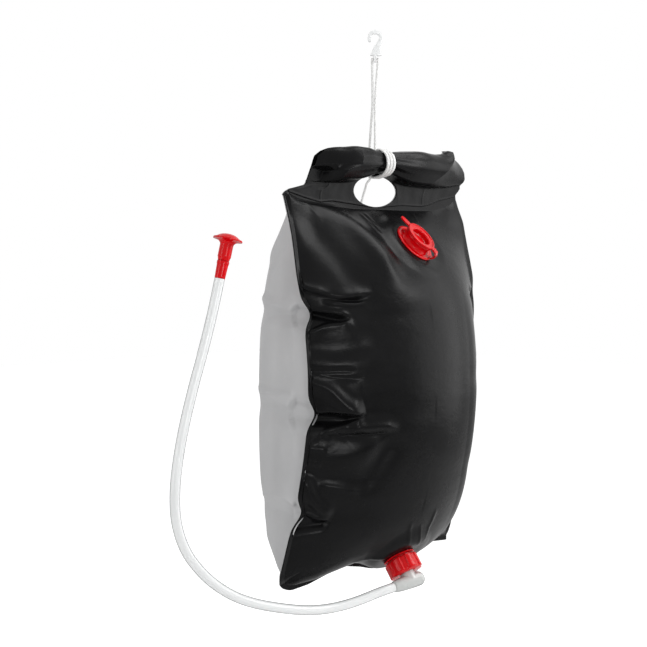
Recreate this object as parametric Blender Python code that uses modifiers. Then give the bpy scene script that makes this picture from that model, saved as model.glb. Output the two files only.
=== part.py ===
# Camp shower bag: a filled film bag on a cord and hook, with a screw outlet, hose and shower head
# Metres, +Z up. The origin is the seat of the hook's throat. -Y is the front, +X the bag's right from the front.
import math

import bmesh
import bpy
import numpy as np
from mathutils import Matrix, Vector

# Shared fits
FIT_GAP = 0.0003          # running gap between two pieces that meet
CUT_OVERRUN = 0.002       # how far a cutter runs past the faces it cuts
MERGE_DIST = 0.00005      # weld distance for caps and turned profiles
BEVEL_ANGLE = math.radians(50)
SMALL_STEPS = 16          # sides of a ring or knot
ROUND_STEPS = 24          # sides of a small turned piece
WIDE_STEPS = 32           # sides of a wide turned piece
BEND_STEPS = 8            # straight runs in a small rounded end
CURVE_STEPS = 12          # straight runs between two points of a smoothed route

# Hook, a flat moulding seen face-on along the diagonal
HOOK_THICK = 0.0064
HOOK_THROAT_R = 0.005
HOOK_WALL = 0.0040
HOOK_EDGE_R = 0.0007
HOOK_SHANK_LEN = 0.0265   # from the seat down to the foot
HOOK_FOOT_LEFT = 0.0056
HOOK_FOOT_RIGHT = 0.0081
HOOK_FOOT_TALL = 0.0016
HOOK_FOOT_SLOPE = 0.0006  # the foot's underside falls towards the web
HOOK_HIP_SHARE = 0.42     # where the shank starts to narrow, as a share of its length
HOOK_HIP_W_SHARE = 0.97   # and its edge there, as a share of the throat's outer radius
HOOK_WAIST_SHARE = 0.62   # where the shank is narrowest, as a share of its length
HOOK_WAIST_RIGHT_SHARE = 0.86   # the shank's edges at the waist and above the foot, as shares of the foot's
HOOK_WAIST_LEFT_SHARE = 0.30
HOOK_FLARE_RIGHT_SHARE = 0.88
HOOK_FLARE_LEFT_SHARE = 0.84
HOOK_SEAT_ANGLE = math.radians(68)
HOOK_TIP_ANGLE = math.radians(205)
HOOK_LEAVE_ANGLE = math.radians(-40)
HOOK_ARC_STEPS = 14
HOOK_THROAT_STEPS = 6
HOOK_WEB_THICK = 0.0035
HOOK_EYE_DROP = 0.0030    # from the foot down to the eye's axis
HOOK_EYE_W = 0.0038
HOOK_EYE_TALL = 0.0046
HOOK_EYE_WALL = 0.0022
EYE_STEPS = 12
HOOK_TURN = math.radians(-45)

# Cord, braided
CORD_D = 0.0028
CORD_MEET_DROP = 0.052    # from the eye down to where the two strands meet
WRAP_TURNS = 3
WRAP_PITCH = 0.0034
WRAP_LOOP_POINTS = 24
WRAP_EXTRA_POINTS = 3
RIM_STEPS = 360
TAIL_STEP = 0.0042
KNOT_ROUND_POWER = 0.8
KNOT_R = 0.0038
KNOT_TALL = 0.0090
TAIL_KNOT_R = 0.0036
TAIL_KNOT_TALL = 0.0080
CORD_SEAT_GAP = 0.0004

# Film sheets
FILM = 0.0008
BAND_TOP_Z = -0.1818      # upper weld line, where the header sleeve starts
BAG_TOP_Z = -0.2124       # where the sheets part and the bag swells
BAG_LOW_Z = -0.6426       # lower weld, before the drops along it
BAG_TALL = BAG_TOP_Z - BAG_LOW_Z
MID_HALF_W = 0.1495
TOP_FLARE = 0.0040          # how much wider than the middle each half is at the top
LOW_FLARE = 0.0095          # and at the lower left corner
RIGHT_LOW_FLARE = -0.0105   # the lower right corner is drawn in
FRONT_SWELL = 0.0560
REAR_SWELL = 0.1778
SEAM_FORWARD = 0.0431     # how far the side seams bow to the front at mid height
SEAM_BOW_POWER = 0.9
WELD_W = 0.0063           # flat welded edge outside the seam
PINCH_DEPTH = 0.0110
PINCH_TALL = 0.0130       # half height of a pinch in the side seam
PINCH_REACH = 0.0450      # how far a pinch runs into the sheet

# Where the swell starts and ends, as shares of the bag's height, and how round its shoulders are
FRONT_RISE_SHARE = 0.2756
FRONT_RISE_POWER = 1.105
FRONT_FALL_SHARE = 0.206
FRONT_FALL_POWER = 0.30
REAR_RISE_SHARE = 0.4973
REAR_RISE_POWER = 0.40
REAR_FALL_SHARE = 0.4981
REAR_FALL_POWER = 0.303
TOP_NARROW_SHARE = 0.30
LOW_WIDEN_SHARE = 0.42
LOW_WIDEN_POWER = 1.5
BOTTOM_FALL_SHARE = 0.2     # the lowest part of the bag, over which the lower weld's drops come in
left_pinch_shares = (0.283, 0.546, 0.814)
right_pinch_shares = (0.235, 0.47, 0.735)
RIGHT_PINCH_SHARE = 0.6   # depth of a right pinch against a left one
# Lower weld: place across the sheet and drop below the bag's foot, as shares of half width and height
bottom_edge_shares = ((-1.0, 0.022), (-0.72, 0.012), (-0.36, -0.018), (0.0, 0.006), (0.36, -0.008),
                      (0.70, -0.036), (1.0, -0.030))
row_shares = (0.0, 0.015, 0.035, 0.065, 0.096, 0.13, 0.165, 0.21, 0.25, 0.283, 0.316, 0.38, 0.45, 0.51,
              0.546, 0.582, 0.65, 0.73, 0.78, 0.814, 0.848, 0.89, 0.93, 0.955, 0.972, 0.985, 0.994, 0.9985, 1.0)
front_column_shares = (-1.0, -0.93, -0.83, -0.70, -0.55, -0.38, -0.22, -0.08, 0.03, 0.137, 0.24, 0.36,
                       0.52, 0.70, 0.84, 0.93, 1.0)
rear_column_shares = (-1.0, -0.92, -0.80, -0.65, -0.48, -0.30, -0.10, 0.10, 0.30, 0.48, 0.65, 0.80, 0.92, 1.0)
band_row_shares = (1.0, 0.66, 0.33)

# Hand hole through the welded band
HAND_HOLE_W = 0.0765
HAND_HOLE_TALL = 0.0378
HAND_HOLE_Z = -0.1899

# Header sleeve and the rod inside it
SLEEVE_HALF_W = 0.1505
SLEEVE_TOP_Z = -0.1395
SLEEVE_DEEP = 0.0330
SLEEVE_PINCH_TOP = 0.0035   # how far the cord pulls the sleeve's top down
SLEEVE_PINCH_LOW = 0.0140   # and its underside up
SLEEVE_PINCH_DEEP = 0.0050
SLEEVE_PINCH_W = 0.0300
SLEEVE_SKIRT_Z = -0.2066    # lower weld line
SLEEVE_SKIRT_DIP = 0.0050   # the lower weld dips under the hand hole
SLEEVE_END_FLAT = 0.0080    # the open ends are pressed flatter
SLEEVE_END_W = 0.0180
SLEEVE_ARC_POINTS = 14
sleeve_station_shares = (-1.0, -0.95, -0.88, -0.76, -0.60, -0.44, -0.30, -0.20, -0.12, -0.06,
                         0.0, 0.06, 0.12, 0.20, 0.30, 0.44, 0.60, 0.76, 0.88, 0.95, 1.0)
ROD_D = 0.0145
ROD_WALL = 0.0015
ROD_END_INSET = 0.053       # the rod stops short of the sleeve's slanted ends

# Filler valve on the front sheet
FILLER_X = 0.0207
FILLER_Z = -0.2538
FILLER_LEAN = Vector((0.15, -0.74, 0.65)).normalized()
LID_D = 0.0405
LID_OVERHANG = 0.00075      # the lid's edge past the neck
FILLER_FLANGE_W = 0.00675   # the flange past the lid
FILLER_WALL = 0.0040
FILLER_LIP_WALL = 0.0025
FILLER_FLANGE_D = LID_D + 2 * FILLER_FLANGE_W
FILLER_FLANGE_THICK = 0.0016
FILLER_NECK_D = LID_D - 2 * LID_OVERHANG
FILLER_BORE_D = FILLER_NECK_D - 2 * FILLER_WALL
FILLER_NECK_TALL = 0.0095   # above the flange
FILLER_NECK_DEEP = 0.0050   # the neck's lip inside the bag
FILLER_LIP_D = FILLER_BORE_D + 2 * FILLER_LIP_WALL
FILLER_ROUND = 0.0010
LID_THICK = 0.0018
LID_RIM_W = 0.0022
LID_RIM_TALL = 0.0010
PLUG_DEEP = 0.0070
PLUG_WALL = 0.0022
PLUG_TAPER = 0.0012
LID_HINGE_OUT = 0.0030      # hinge axis outside the lid's edge
LID_KNUCKLE_R = 0.0012
LID_KNUCKLE_ARC = math.radians(145)   # half of the knuckle's round, from its outermost point
LID_LUG_SHARE = 0.7         # thickness of the lug against its knuckle
STRAP_W = 0.0085
STRAP_THICK = 0.0016
STRAP_BOW = 0.0062          # how far the strap bows out past the hinge
STRAP_LEAD = math.radians(-25)        # where on the knuckle's round the strap ends
strap_rise_shares = (0.22, 0.52, 0.82)
TAB_LONG = 0.0135
TAB_W = 0.0085
TAB_THICK = 0.0016
TAB_END_SHARE = 0.9         # width of the tab's round end against its root
TAB_TURN = math.radians(19)
FLAT_MARGIN = 0.0040        # film pulled flat past a fitting's flange
FLAT_BLEND = 0.022          # and the width over which it swells again

# Outlet at the foot of the front sheet
OUTLET_SHARE = 0.97324      # how far down the bag the outlet is welded in
OUTLET_SINK = 0.00153       # and how far it draws the sheet inwards
OUTLET_AXIS = Vector((0.0, -0.6, -0.8))
SPOUT_D = 0.0310
SPOUT_WALL = 0.0045
SPOUT_FLANGE_W = 0.0075     # the flange past the spout
SPOUT_FLANGE_D = SPOUT_D + 2 * SPOUT_FLANGE_W
SPOUT_FLANGE_THICK = 0.0016
SPOUT_BORE_D = SPOUT_D - 2 * SPOUT_WALL
SPOUT_TALL = 0.0153         # from the film's outer face
SPOUT_DEEP = 0.0040
NUT_WALL = 0.0039           # between the ribs
NUT_RIB_TALL = 0.0016
NUT_GROOVE_D = SPOUT_D + 2 * NUT_WALL
NUT_RIB_D = NUT_GROOVE_D + 2 * NUT_RIB_TALL
NUT_RIBS = 8
NUT_RIB_SHARE = 0.42        # share of the pitch that a rib takes
NUT_FLANK_SHARE = 0.10
NUT_TALL = 0.0185
NUT_START = 0.0040          # nut's upper face from the film
NUT_END_WALL = 0.0025
NUT_EDGE = 0.0008
SEAL_THICK = 0.0018
ELBOW_FLANGE_THICK = 0.0020
ELBOW_NECK_D = 0.0180
ELBOW_NECK_BORE_D = 0.0110
ELBOW_BARREL_D = 0.0175
ELBOW_AXIS_DROP = 0.0330    # barrel axis from the film
ELBOW_HOSE_SIDE = 0.0252    # from the outlet axis to the barrel's hose end
ELBOW_CLOSED_SIDE = 0.0180
ELBOW_WALL = 0.0022
ELBOW_DOME_TALL = 0.0044    # the barrel's closed end
ELBOW_DOME_STEPS = 4
ELBOW_TURN = math.radians(17)     # barrel's turn from -X about the outlet axis

# Hose
HOSE_D = 0.0115
HOSE_BORE_D = 0.0085
HOSE_STEP = 0.0150
HOSE_STRAIGHT_SHARE = 1.25   # straight run over a spigot, as a share of the spigot's length
SPIGOT_LONG = 0.0140
SPIGOT_WALL = 0.0013
SPIGOT_BORE_R = HOSE_BORE_D / 2 - FIT_GAP - SPIGOT_WALL
BARB_TALL = 0.00015
BARBS = 2
hose_route = ((-0.0500, -0.0480, -0.6685), (-0.0700, -0.0430, -0.6730), (-0.0900, -0.0380, -0.6762),
              (-0.1110, -0.0325, -0.6777), (-0.1300, -0.0280, -0.6770), (-0.1490, -0.0230, -0.6745),
              (-0.1680, -0.0180, -0.6705), (-0.1870, -0.0135, -0.6655), (-0.2060, -0.0090, -0.6595),
              (-0.2250, -0.0040, -0.6515), (-0.2430, 0.0000, -0.6410), (-0.2610, 0.0040, -0.6270),
              (-0.2770, 0.0085, -0.6095), (-0.2885, 0.0115, -0.5925), (-0.2965, 0.0132, -0.5740),
              (-0.3010, 0.0145, -0.5540), (-0.3020, 0.0150, -0.5330), (-0.3010, 0.0145, -0.5110),
              (-0.2980, 0.0140, -0.4900), (-0.2940, 0.0130, -0.4680), (-0.2890, 0.0118, -0.4460),
              (-0.2833, 0.0105, -0.4245), (-0.2773, 0.0090, -0.4030), (-0.2710, 0.0073, -0.3820),
              (-0.2648, 0.0058, -0.3600), (-0.2588, 0.0043, -0.3380), (-0.2532, 0.0030, -0.3155),
              (-0.2480, 0.0018, -0.2930))

# Shower head
HEAD_BODY_TALL = 0.0196
HEAD_BODY_TOP_D = 0.0138
HEAD_BODY_LOW_D = 0.0118
HEAD_BORE_D = 0.0098
HEAD_FLOOR = 0.0040
ROSE_STEM_D = 0.0092
ROSE_STEM_LONG = 0.0140     # length of the stem in the body when pushed in
ROSE_STEM_BORE_D = 0.0040
ROSE_COLLAR_D = 0.0128
ROSE_TALL = 0.0254          # from the body's top to the rim
ROSE_BARREL_D = 0.0150
ROSE_D = 0.0330
ROSE_RIM_TALL = 0.0022
ROSE_FLARE_SHARE = 0.62     # height of the flare against its width
ROSE_FLARE_STEPS = 6
ROSE_WALL = 0.0020
ROSE_LEDGE_DEEP = 0.0013    # from the rim down to the ledge that carries the plate
ROSE_LEDGE_W = 0.0040
PLATE_THICK = 0.0012
PLATE_DOME = 0.0014
PLATE_HOLE_D = 0.0012
PLATE_RING_STEP = 0.0042
PLATE_RINGS = 2
PLATE_RING_HOLES = 6
PLATE_STEPS = 4
ORING_STEPS = 6
ORING_D = 0.0012
ORING_SEAT = 0.0050         # from the stem's end

BLACK_FILM = (0.012, 0.012, 0.013, 1.0)
GREY_FILM = (0.42, 0.42, 0.42, 1.0)
RED_PLASTIC = (0.62, 0.004, 0.006, 1.0)
CLEAR_PLASTIC = (0.72, 0.74, 0.74, 1.0)
WHITE_CORD = (0.85, 0.85, 0.83, 1.0)
ROD_PLASTIC = (0.55, 0.55, 0.53, 1.0)
SEAL_RUBBER = (0.03, 0.03, 0.03, 1.0)


# Scene and material helpers
def clear_scene():
    for obj in list(bpy.data.objects):
        bpy.data.objects.remove(obj, do_unlink=True)


def collection(name):
    group = bpy.data.collections.new(name)
    bpy.context.scene.collection.children.link(group)
    return group


def material(name, colour, roughness):
    mat = bpy.data.materials.new(name)
    mat.use_nodes = True
    shader = mat.node_tree.nodes["Principled BSDF"]
    shader.inputs["Base Color"].default_value = colour
    shader.inputs["Roughness"].default_value = roughness
    mat.diffuse_color = colour
    return mat


def new_part(name, data, colour, roughness):
    obj = bpy.data.objects.new(name, data)
    PARTS.objects.link(obj)
    data.materials.append(material(name + "_material", colour, roughness))
    return obj


def new_cutter(name, data):
    obj = bpy.data.objects.new(name, data)
    CUTTERS.objects.link(obj)
    obj.hide_render = True
    obj.display_type = "WIRE"
    return obj


def new_empty(name, place, parent=None):
    obj = bpy.data.objects.new(name, None)
    obj.matrix_world = place
    if parent:
        obj.parent = parent
        obj.matrix_parent_inverse = parent.matrix_world.inverted()
    PARTS.objects.link(obj)
    return obj


def put(obj, place, parent=None):
    obj.matrix_world = place
    if parent:
        obj.parent = parent
        obj.matrix_parent_inverse = parent.matrix_world.inverted()
    return obj


def boolean(obj, other, operation="DIFFERENCE"):
    mod = obj.modifiers.new(operation.lower(), "BOOLEAN")
    mod.object = other
    mod.operation = operation
    mod.solver = "EXACT"


def bevel(obj, width):
    mod = obj.modifiers.new("edge_round", "BEVEL")
    mod.width = width
    mod.segments = 1
    mod.limit_method = "ANGLE"
    mod.angle_limit = BEVEL_ANGLE


# Frames: local +Z along an axis, local +X near a given direction
def frame_at(point, axis, towards):
    z_dir = Vector(axis).normalized()
    x_dir = Vector(towards)
    x_dir = (x_dir - z_dir * x_dir.dot(z_dir)).normalized()
    y_dir = z_dir.cross(x_dir)
    place = Matrix((x_dir, y_dir, z_dir)).transposed().to_4x4()
    place.translation = Vector(point)
    return place


# Mesh makers
def turned_mesh(name, profile):
    """Closed profile of (radius, height) points, top to bottom down its outer side, turned about local Z."""
    mesh = bpy.data.meshes.new(name)
    closed = min(r for r, z in profile) > 0
    edges = [(i, i + 1) for i in range(len(profile) - 1)]
    if closed:
        edges.append((len(profile) - 1, 0))
    mesh.from_pydata([(r, 0.0, z) for r, z in profile], edges, [])
    return mesh


def add_screw(obj, steps):
    mod = obj.modifiers.new("turned", "SCREW")
    mod.axis = "Z"
    mod.angle = math.tau
    mod.steps = steps
    mod.render_steps = steps
    mod.use_merge_vertices = True
    mod.merge_threshold = MERGE_DIST
    mod.use_smooth_shade = True


def turned_part(name, profile, colour, roughness, place, parent=None, steps=ROUND_STEPS):
    obj = new_part(name, turned_mesh(name, profile), colour, roughness)
    add_screw(obj, steps)
    return put(obj, place, parent)


def turned_cutter(name, profile, place, steps=ROUND_STEPS):
    obj = new_cutter(name, turned_mesh(name, profile))
    add_screw(obj, steps)
    return put(obj, place)


def drum_cutter(name, radius, low, high, place, steps=ROUND_STEPS):
    return turned_cutter(name, [(0.0, high), (radius, high), (radius, low), (0.0, low)], place, steps)


def outline_mesh(name, points, thick):
    """A flat outline in local XY, extruded along local Z and centred on it."""
    curve = bpy.data.curves.new(name, "CURVE")
    curve.dimensions = "2D"
    curve.fill_mode = "BOTH"
    curve.extrude = thick / 2
    spline = curve.splines.new("POLY")
    spline.points.add(len(points) - 1)
    for point, (x, y) in zip(spline.points, points):
        point.co = (x, y, 0.0, 1.0)
    spline.use_cyclic_u = True
    return curve_to_mesh(name, curve)


def curve_to_mesh(name, curve):
    holder = bpy.data.objects.new(name + "_curve", curve)
    bpy.context.scene.collection.objects.link(holder)
    evaluated = holder.evaluated_get(bpy.context.evaluated_depsgraph_get())
    mesh = bpy.data.meshes.new_from_object(evaluated)
    mesh.name = name
    bm = bmesh.new()
    bm.from_mesh(mesh)
    bmesh.ops.remove_doubles(bm, verts=bm.verts, dist=MERGE_DIST)
    bmesh.ops.recalc_face_normals(bm, faces=bm.faces)
    bm.to_mesh(mesh)
    bm.free()
    bpy.data.objects.remove(holder, do_unlink=True)
    return mesh


def tube_curve(name, points, radius, resolution):
    curve = bpy.data.curves.new(name, "CURVE")
    curve.dimensions = "3D"
    curve.bevel_depth = radius
    curve.bevel_resolution = resolution
    curve.use_fill_caps = True
    spline = curve.splines.new("POLY")
    spline.points.add(len(points) - 1)
    for point, place in zip(spline.points, points):
        point.co = (*place, 1.0)
    return curve


def loft_mesh(name, rows):
    """An open sheet through rows of points, each row with as many points as the next."""
    across = len(rows[0])
    verts = [point for row in rows for point in row]
    faces = []
    for i in range(len(rows) - 1):
        for j in range(across - 1):
            a = i * across + j
            faces.append((a, a + 1, a + 1 + across, a + across))
    mesh = bpy.data.meshes.new(name)
    mesh.from_pydata(verts, [], faces)
    mesh.shade_smooth()
    return mesh


def add_film(obj, side):
    mod = obj.modifiers.new("film", "SOLIDIFY")
    mod.thickness = FILM
    mod.offset = side
    mod.use_even_offset = False


def run_lengths(points):
    runs = [0.0]
    for p, q in zip(points, points[1:]):
        runs.append(runs[-1] + (q - p).length)
    return runs


def smooth_route(points, step):
    """Points at an even step on a Catmull-Rom curve through the route's own points."""
    way = [Vector(p) for p in points]
    ends = [way[0] * 2 - way[1]] + way + [way[-1] * 2 - way[-2]]
    fine = []
    for i in range(1, len(ends) - 2):
        a, b, c, d = ends[i - 1:i + 3]
        for k in range(CURVE_STEPS):
            t = k / CURVE_STEPS
            bend = 2 * a - 5 * b + 4 * c - d
            twist = 3 * b - 3 * c + d - a
            fine.append((2 * b + (c - a) * t + bend * t ** 2 + twist * t ** 3) / 2)
    fine.append(way[-1])
    runs = run_lengths(fine)
    count = max(2, round(runs[-1] / step))
    marks = np.linspace(0.0, runs[-1], count + 1)
    axes = [np.interp(marks, runs, [p[k] for p in fine]) for k in range(3)]
    return [Vector(p) for p in zip(*axes)]


# The bag's shape
def ease(share, power):
    share = min(max(share, 0.0), 1.0)
    return (1 - (1 - share) ** 2) ** power


def half_width(u, t):
    low = LOW_FLARE if u < 0 else RIGHT_LOW_FLARE
    narrow = max(0.0, 1 - t / TOP_NARROW_SHARE) ** 2
    widen = max(0.0, (t - LOW_WIDEN_SHARE) / (1 - LOW_WIDEN_SHARE)) ** LOW_WIDEN_POWER
    return MID_HALF_W + TOP_FLARE * narrow + low * widen


def seam_y(t):
    return -SEAM_FORWARD * math.sin(math.pi * min(max(t, 0.0), 1.0)) ** SEAM_BOW_POWER


def swell(side, t):
    if side < 0:
        rise = ease(t / FRONT_RISE_SHARE, FRONT_RISE_POWER)
        fall = ease((1 - t) / FRONT_FALL_SHARE, FRONT_FALL_POWER)
        return FRONT_SWELL * rise * fall
    rise = ease(t / REAR_RISE_SHARE, REAR_RISE_POWER)
    fall = ease((1 - t) / REAR_FALL_SHARE, REAR_FALL_POWER)
    return REAR_SWELL * rise * fall


def bottom_drop(u):
    places = [place for place, drop in bottom_edge_shares]
    drops = [drop for place, drop in bottom_edge_shares]
    return float(np.interp(u, places, drops)) * BAG_TALL


def pinch(u, t):
    shares = left_pinch_shares if u < 0 else right_pinch_shares
    depth = PINCH_DEPTH * (1.0 if u < 0 else RIGHT_PINCH_SHARE)
    near = math.exp(-(1 - min(abs(u), 1.0)) * MID_HALF_W / PINCH_REACH)
    return sum(depth * near * math.exp(-((t - s) * BAG_TALL / PINCH_TALL) ** 2) for s in shares)


def film_point(side, u, t):
    """A point on the inner face of the front (side -1) or rear (side 1) sheet, before fittings flatten it."""
    w = half_width(u, t)
    f = max(swell(side, t), 0.0)
    arc = min(max(u, -1.0), 1.0)
    x, y = w * arc, 0.0
    if f > MERGE_DIST:
        radius = (w * w + f * f) / (2 * f)
        turn = 2 * math.atan2(f, w)
        x = radius * math.sin(arc * turn)
        y = radius * math.cos(arc * turn) - (radius - f)
    dent = pinch(arc, t)
    reach = math.hypot(x, y) or 1.0
    x, y = x * (1 - dent / reach), y * (1 - dent / reach)
    x += (u - arc) * w
    fall = max(0.0, 1 - (1 - t) / BOTTOM_FALL_SHARE) ** 2
    z = BAG_TOP_Z - BAG_TALL * t - bottom_drop(u) * fall
    return Vector((x, seam_y(t) + side * (y + FIT_GAP / 2), z))


def flattened(point, centre, axis, flat_radius):
    """Film pulled into the plane of a round fitting's flange, and swelling again outside it."""
    out = point - centre
    height = out.dot(axis)
    radius = (out - axis * height).length
    if radius > flat_radius + FLAT_BLEND or abs(height) > flat_radius:
        return point
    blend = min(max((radius - flat_radius) / FLAT_BLEND, 0.0), 1.0)
    blend = blend * blend * (3 - 2 * blend)
    return point - axis * height * (1 - blend)


def filler_seat():
    t = (BAG_TOP_Z - FILLER_Z) / BAG_TALL
    return film_point(-1, FILLER_X / half_width(1, t), t)


def front_point(u, t):
    point = film_point(-1, u, t)
    if t <= 0.0 or t >= 1.0:
        return point
    point = flattened(point, FILLER_SEAT, FILLER_LEAN, FILLER_FLANGE_D / 2 + FLAT_MARGIN)
    return flattened(point, OUTLET_SEAT, OUTLET_AXIS, SPOUT_FLANGE_D / 2 + FLAT_MARGIN)


def sheet_rows(side):
    shares = front_column_shares if side < 0 else rear_column_shares
    weld = WELD_W / MID_HALF_W
    columns = (-1 - weld,) + shares + (1 + weld,)
    rows = []
    for share in band_row_shares:
        z = BAG_TOP_Z + (BAND_TOP_Z - BAG_TOP_Z) * share
        rows.append([Vector(((MID_HALF_W + TOP_FLARE) * u, side * FIT_GAP / 2, z)) for u in columns])
    for t in row_shares:
        rows.append([front_point(u, t) if side < 0 else film_point(side, u, t) for u in columns])
    foot = [Vector((p.x, side * FIT_GAP / 2, p.z - WELD_W)) for p in rows[-1]]
    return rows + [foot]


def hand_hole_cutter():
    points = []
    for k in range(WIDE_STEPS):
        a = math.tau * (k + 0.5) / WIDE_STEPS
        points.append((HAND_HOLE_W / 2 * math.cos(a), HAND_HOLE_TALL / 2 * math.sin(a)))
    mesh = outline_mesh("hand_hole_cutter", points, SLEEVE_DEEP)
    cutter = new_cutter("hand_hole_cutter", mesh)
    return put(cutter, frame_at((0.0, 0.0, HAND_HOLE_Z), (0.0, -1.0, 0.0), (1.0, 0.0, 0.0)))


def build_sheets(hole):
    front = new_part("front_panel", loft_mesh("front_panel", sheet_rows(-1)), BLACK_FILM, 0.35)
    rear = new_part("rear_panel", loft_mesh("rear_panel", sheet_rows(1)), GREY_FILM, 0.55)
    add_film(front, -1)
    add_film(rear, 1)
    boolean(front, hole)
    boolean(rear, hole)
    filler_hole = drum_cutter("filler_hole_cutter", FILLER_LIP_D / 2 + FIT_GAP, -FLAT_BLEND / 2,
                              FLAT_BLEND / 2, FILLER_FRAME)
    outlet_hole = drum_cutter("outlet_hole_cutter", SPOUT_D / 2 + FIT_GAP, -FLAT_BLEND / 2,
                              FLAT_BLEND / 2, OUTLET_FRAME)
    boolean(front, filler_hole)
    boolean(front, outlet_hole)


# Header sleeve
def sleeve_pinch(x):
    return math.exp(-(x / SLEEVE_PINCH_W) ** 2)


def sleeve_end(x):
    return math.exp(-((SLEEVE_HALF_W - abs(x)) / SLEEVE_END_W) ** 2)


def sleeve_section(x):
    """Inner face of the sleeve in (y, z) at x: skirt, over the tube and down the rear skirt."""
    pull = sleeve_pinch(x)
    top = SLEEVE_TOP_Z - SLEEVE_PINCH_TOP * pull
    low = BAND_TOP_Z + SLEEVE_PINCH_LOW * pull
    deep = SLEEVE_DEEP - SLEEVE_PINCH_DEEP * pull - SLEEVE_END_FLAT * sleeve_end(x)
    skirt = FIT_GAP / 2 + FILM + FIT_GAP
    rear = skirt + FILM
    centre_y, centre_z = rear - deep / 2, (top + low) / 2
    half_y, half_z = deep / 2, (top - low) / 2
    hem = SLEEVE_SKIRT_Z - SLEEVE_SKIRT_DIP * pull
    points = [(-skirt, hem), (-skirt, (hem + low) / 2), (-skirt, low)]
    first, last = math.radians(282), math.radians(-18)
    for k in range(SLEEVE_ARC_POINTS + 1):
        a = first + (last - first) * k / SLEEVE_ARC_POINTS
        points.append((centre_y + half_y * math.cos(a), centre_z + half_z * math.sin(a)))
    return points + [(skirt, low), (skirt, (hem + low) / 2), (skirt, hem)]


def build_sleeve(hole):
    rows = []
    for share in sleeve_station_shares:
        x = SLEEVE_HALF_W * share
        rows.append([Vector((x, y, z)) for y, z in sleeve_section(x)])
    sleeve = new_part("header_sleeve", loft_mesh("header_sleeve", rows), BLACK_FILM, 0.35)
    add_film(sleeve, -1)
    boolean(sleeve, hole)


def rod_axis():
    top = SLEEVE_TOP_Z - SLEEVE_PINCH_TOP
    skirt = FIT_GAP / 2 + FILM + FIT_GAP
    centre_y = skirt + FILM - (SLEEVE_DEEP - SLEEVE_PINCH_DEEP) / 2
    return Vector((0.0, centre_y, top - FIT_GAP - ROD_D / 2))


def build_rod():
    outer, inner = ROD_D / 2, ROD_D / 2 - ROD_WALL
    half = SLEEVE_HALF_W - ROD_END_INSET
    profile = [(inner, half), (outer, half), (outer, -half), (inner, -half)]
    turned_part("handle_rod", profile, ROD_PLASTIC, 0.5, frame_at(rod_axis(), (1, 0, 0), (0, 0, 1)))


# Hook
def hook_outline():
    """The hook seen face-on: x to the image right, y up, with the flat seat at y = 0."""
    centre = -HOOK_THROAT_R * math.sin(HOOK_SEAT_ANGLE)
    outer = HOOK_THROAT_R + HOOK_WALL
    foot = -HOOK_SHANK_LEN
    waist = -HOOK_SHANK_LEN * HOOK_WAIST_SHARE
    eye = foot - HOOK_EYE_DROP
    end = eye - HOOK_EYE_TALL / 2 - HOOK_EYE_WALL
    web = HOOK_WEB_THICK / 2

    def arc(radius, start, stop, count):
        return [(radius * math.cos(start + (stop - start) * k / count),
                 centre + radius * math.sin(start + (stop - start) * k / count)) for k in range(count + 1)]

    points = arc(outer, HOOK_TIP_ANGLE, 0.0, HOOK_ARC_STEPS)
    points += [(outer * HOOK_HIP_W_SHARE, foot * HOOK_HIP_SHARE)]
    points += [(HOOK_FOOT_RIGHT * HOOK_WAIST_RIGHT_SHARE, waist)]
    points += [(HOOK_FOOT_RIGHT * HOOK_FLARE_RIGHT_SHARE, foot + HOOK_FOOT_TALL * 2)]
    points += [(HOOK_FOOT_RIGHT, foot + HOOK_FOOT_TALL)]
    points += [(HOOK_FOOT_RIGHT, foot + HOOK_FOOT_SLOPE), (web, foot)]
    points += [(web, end), (-web, end), (-web, foot)]
    points += [(-HOOK_FOOT_LEFT, foot + HOOK_FOOT_SLOPE), (-HOOK_FOOT_LEFT, foot + HOOK_FOOT_TALL)]
    points += [(-HOOK_FOOT_LEFT * HOOK_FLARE_LEFT_SHARE, foot + HOOK_FOOT_TALL * 2)]
    points += [(-HOOK_FOOT_LEFT * HOOK_WAIST_LEFT_SHARE, waist)]
    points += arc(HOOK_THROAT_R, HOOK_LEAVE_ANGLE, HOOK_SEAT_ANGLE, HOOK_THROAT_STEPS)
    points += arc(HOOK_THROAT_R, math.pi - HOOK_SEAT_ANGLE, HOOK_TIP_ANGLE, HOOK_THROAT_STEPS)
    wall_mid = (outer + HOOK_THROAT_R) / 2
    out = Vector((math.cos(HOOK_TIP_ANGLE), math.sin(HOOK_TIP_ANGLE)))
    onward = Vector((-math.sin(HOOK_TIP_ANGLE), math.cos(HOOK_TIP_ANGLE)))
    tip = Vector((0.0, centre)) + out * wall_mid
    for k in (1, 2, 3):
        a = math.pi * k / 4
        point = tip + (onward * math.sin(a) - out * math.cos(a)) * HOOK_WALL / 2
        points.append((point.x, point.y))
    return points


def build_hook():
    hook = new_part("hook", outline_mesh("hook", hook_outline(), HOOK_THICK), CLEAR_PLASTIC, 0.3)
    bevel(hook, HOOK_EDGE_R)
    put(hook, frame_at((0, 0, 0), VIEW_BACK, HOOK_ALONG))
    slot = []
    straight = (HOOK_EYE_TALL - HOOK_EYE_W) / 2
    for k in range(EYE_STEPS):
        a = math.tau * (k + 0.5) / EYE_STEPS
        slot.append((HOOK_EYE_W / 2 * math.cos(a),
                     HOOK_EYE_W / 2 * math.sin(a) + math.copysign(straight, math.sin(a))))
    eye = new_cutter("hook_eye_cutter", outline_mesh("hook_eye_cutter", slot, HOOK_WEB_THICK + CUT_OVERRUN))
    put(eye, frame_at(EYE, HOOK_ALONG, VIEW_BACK))
    boolean(hook, eye)


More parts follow.
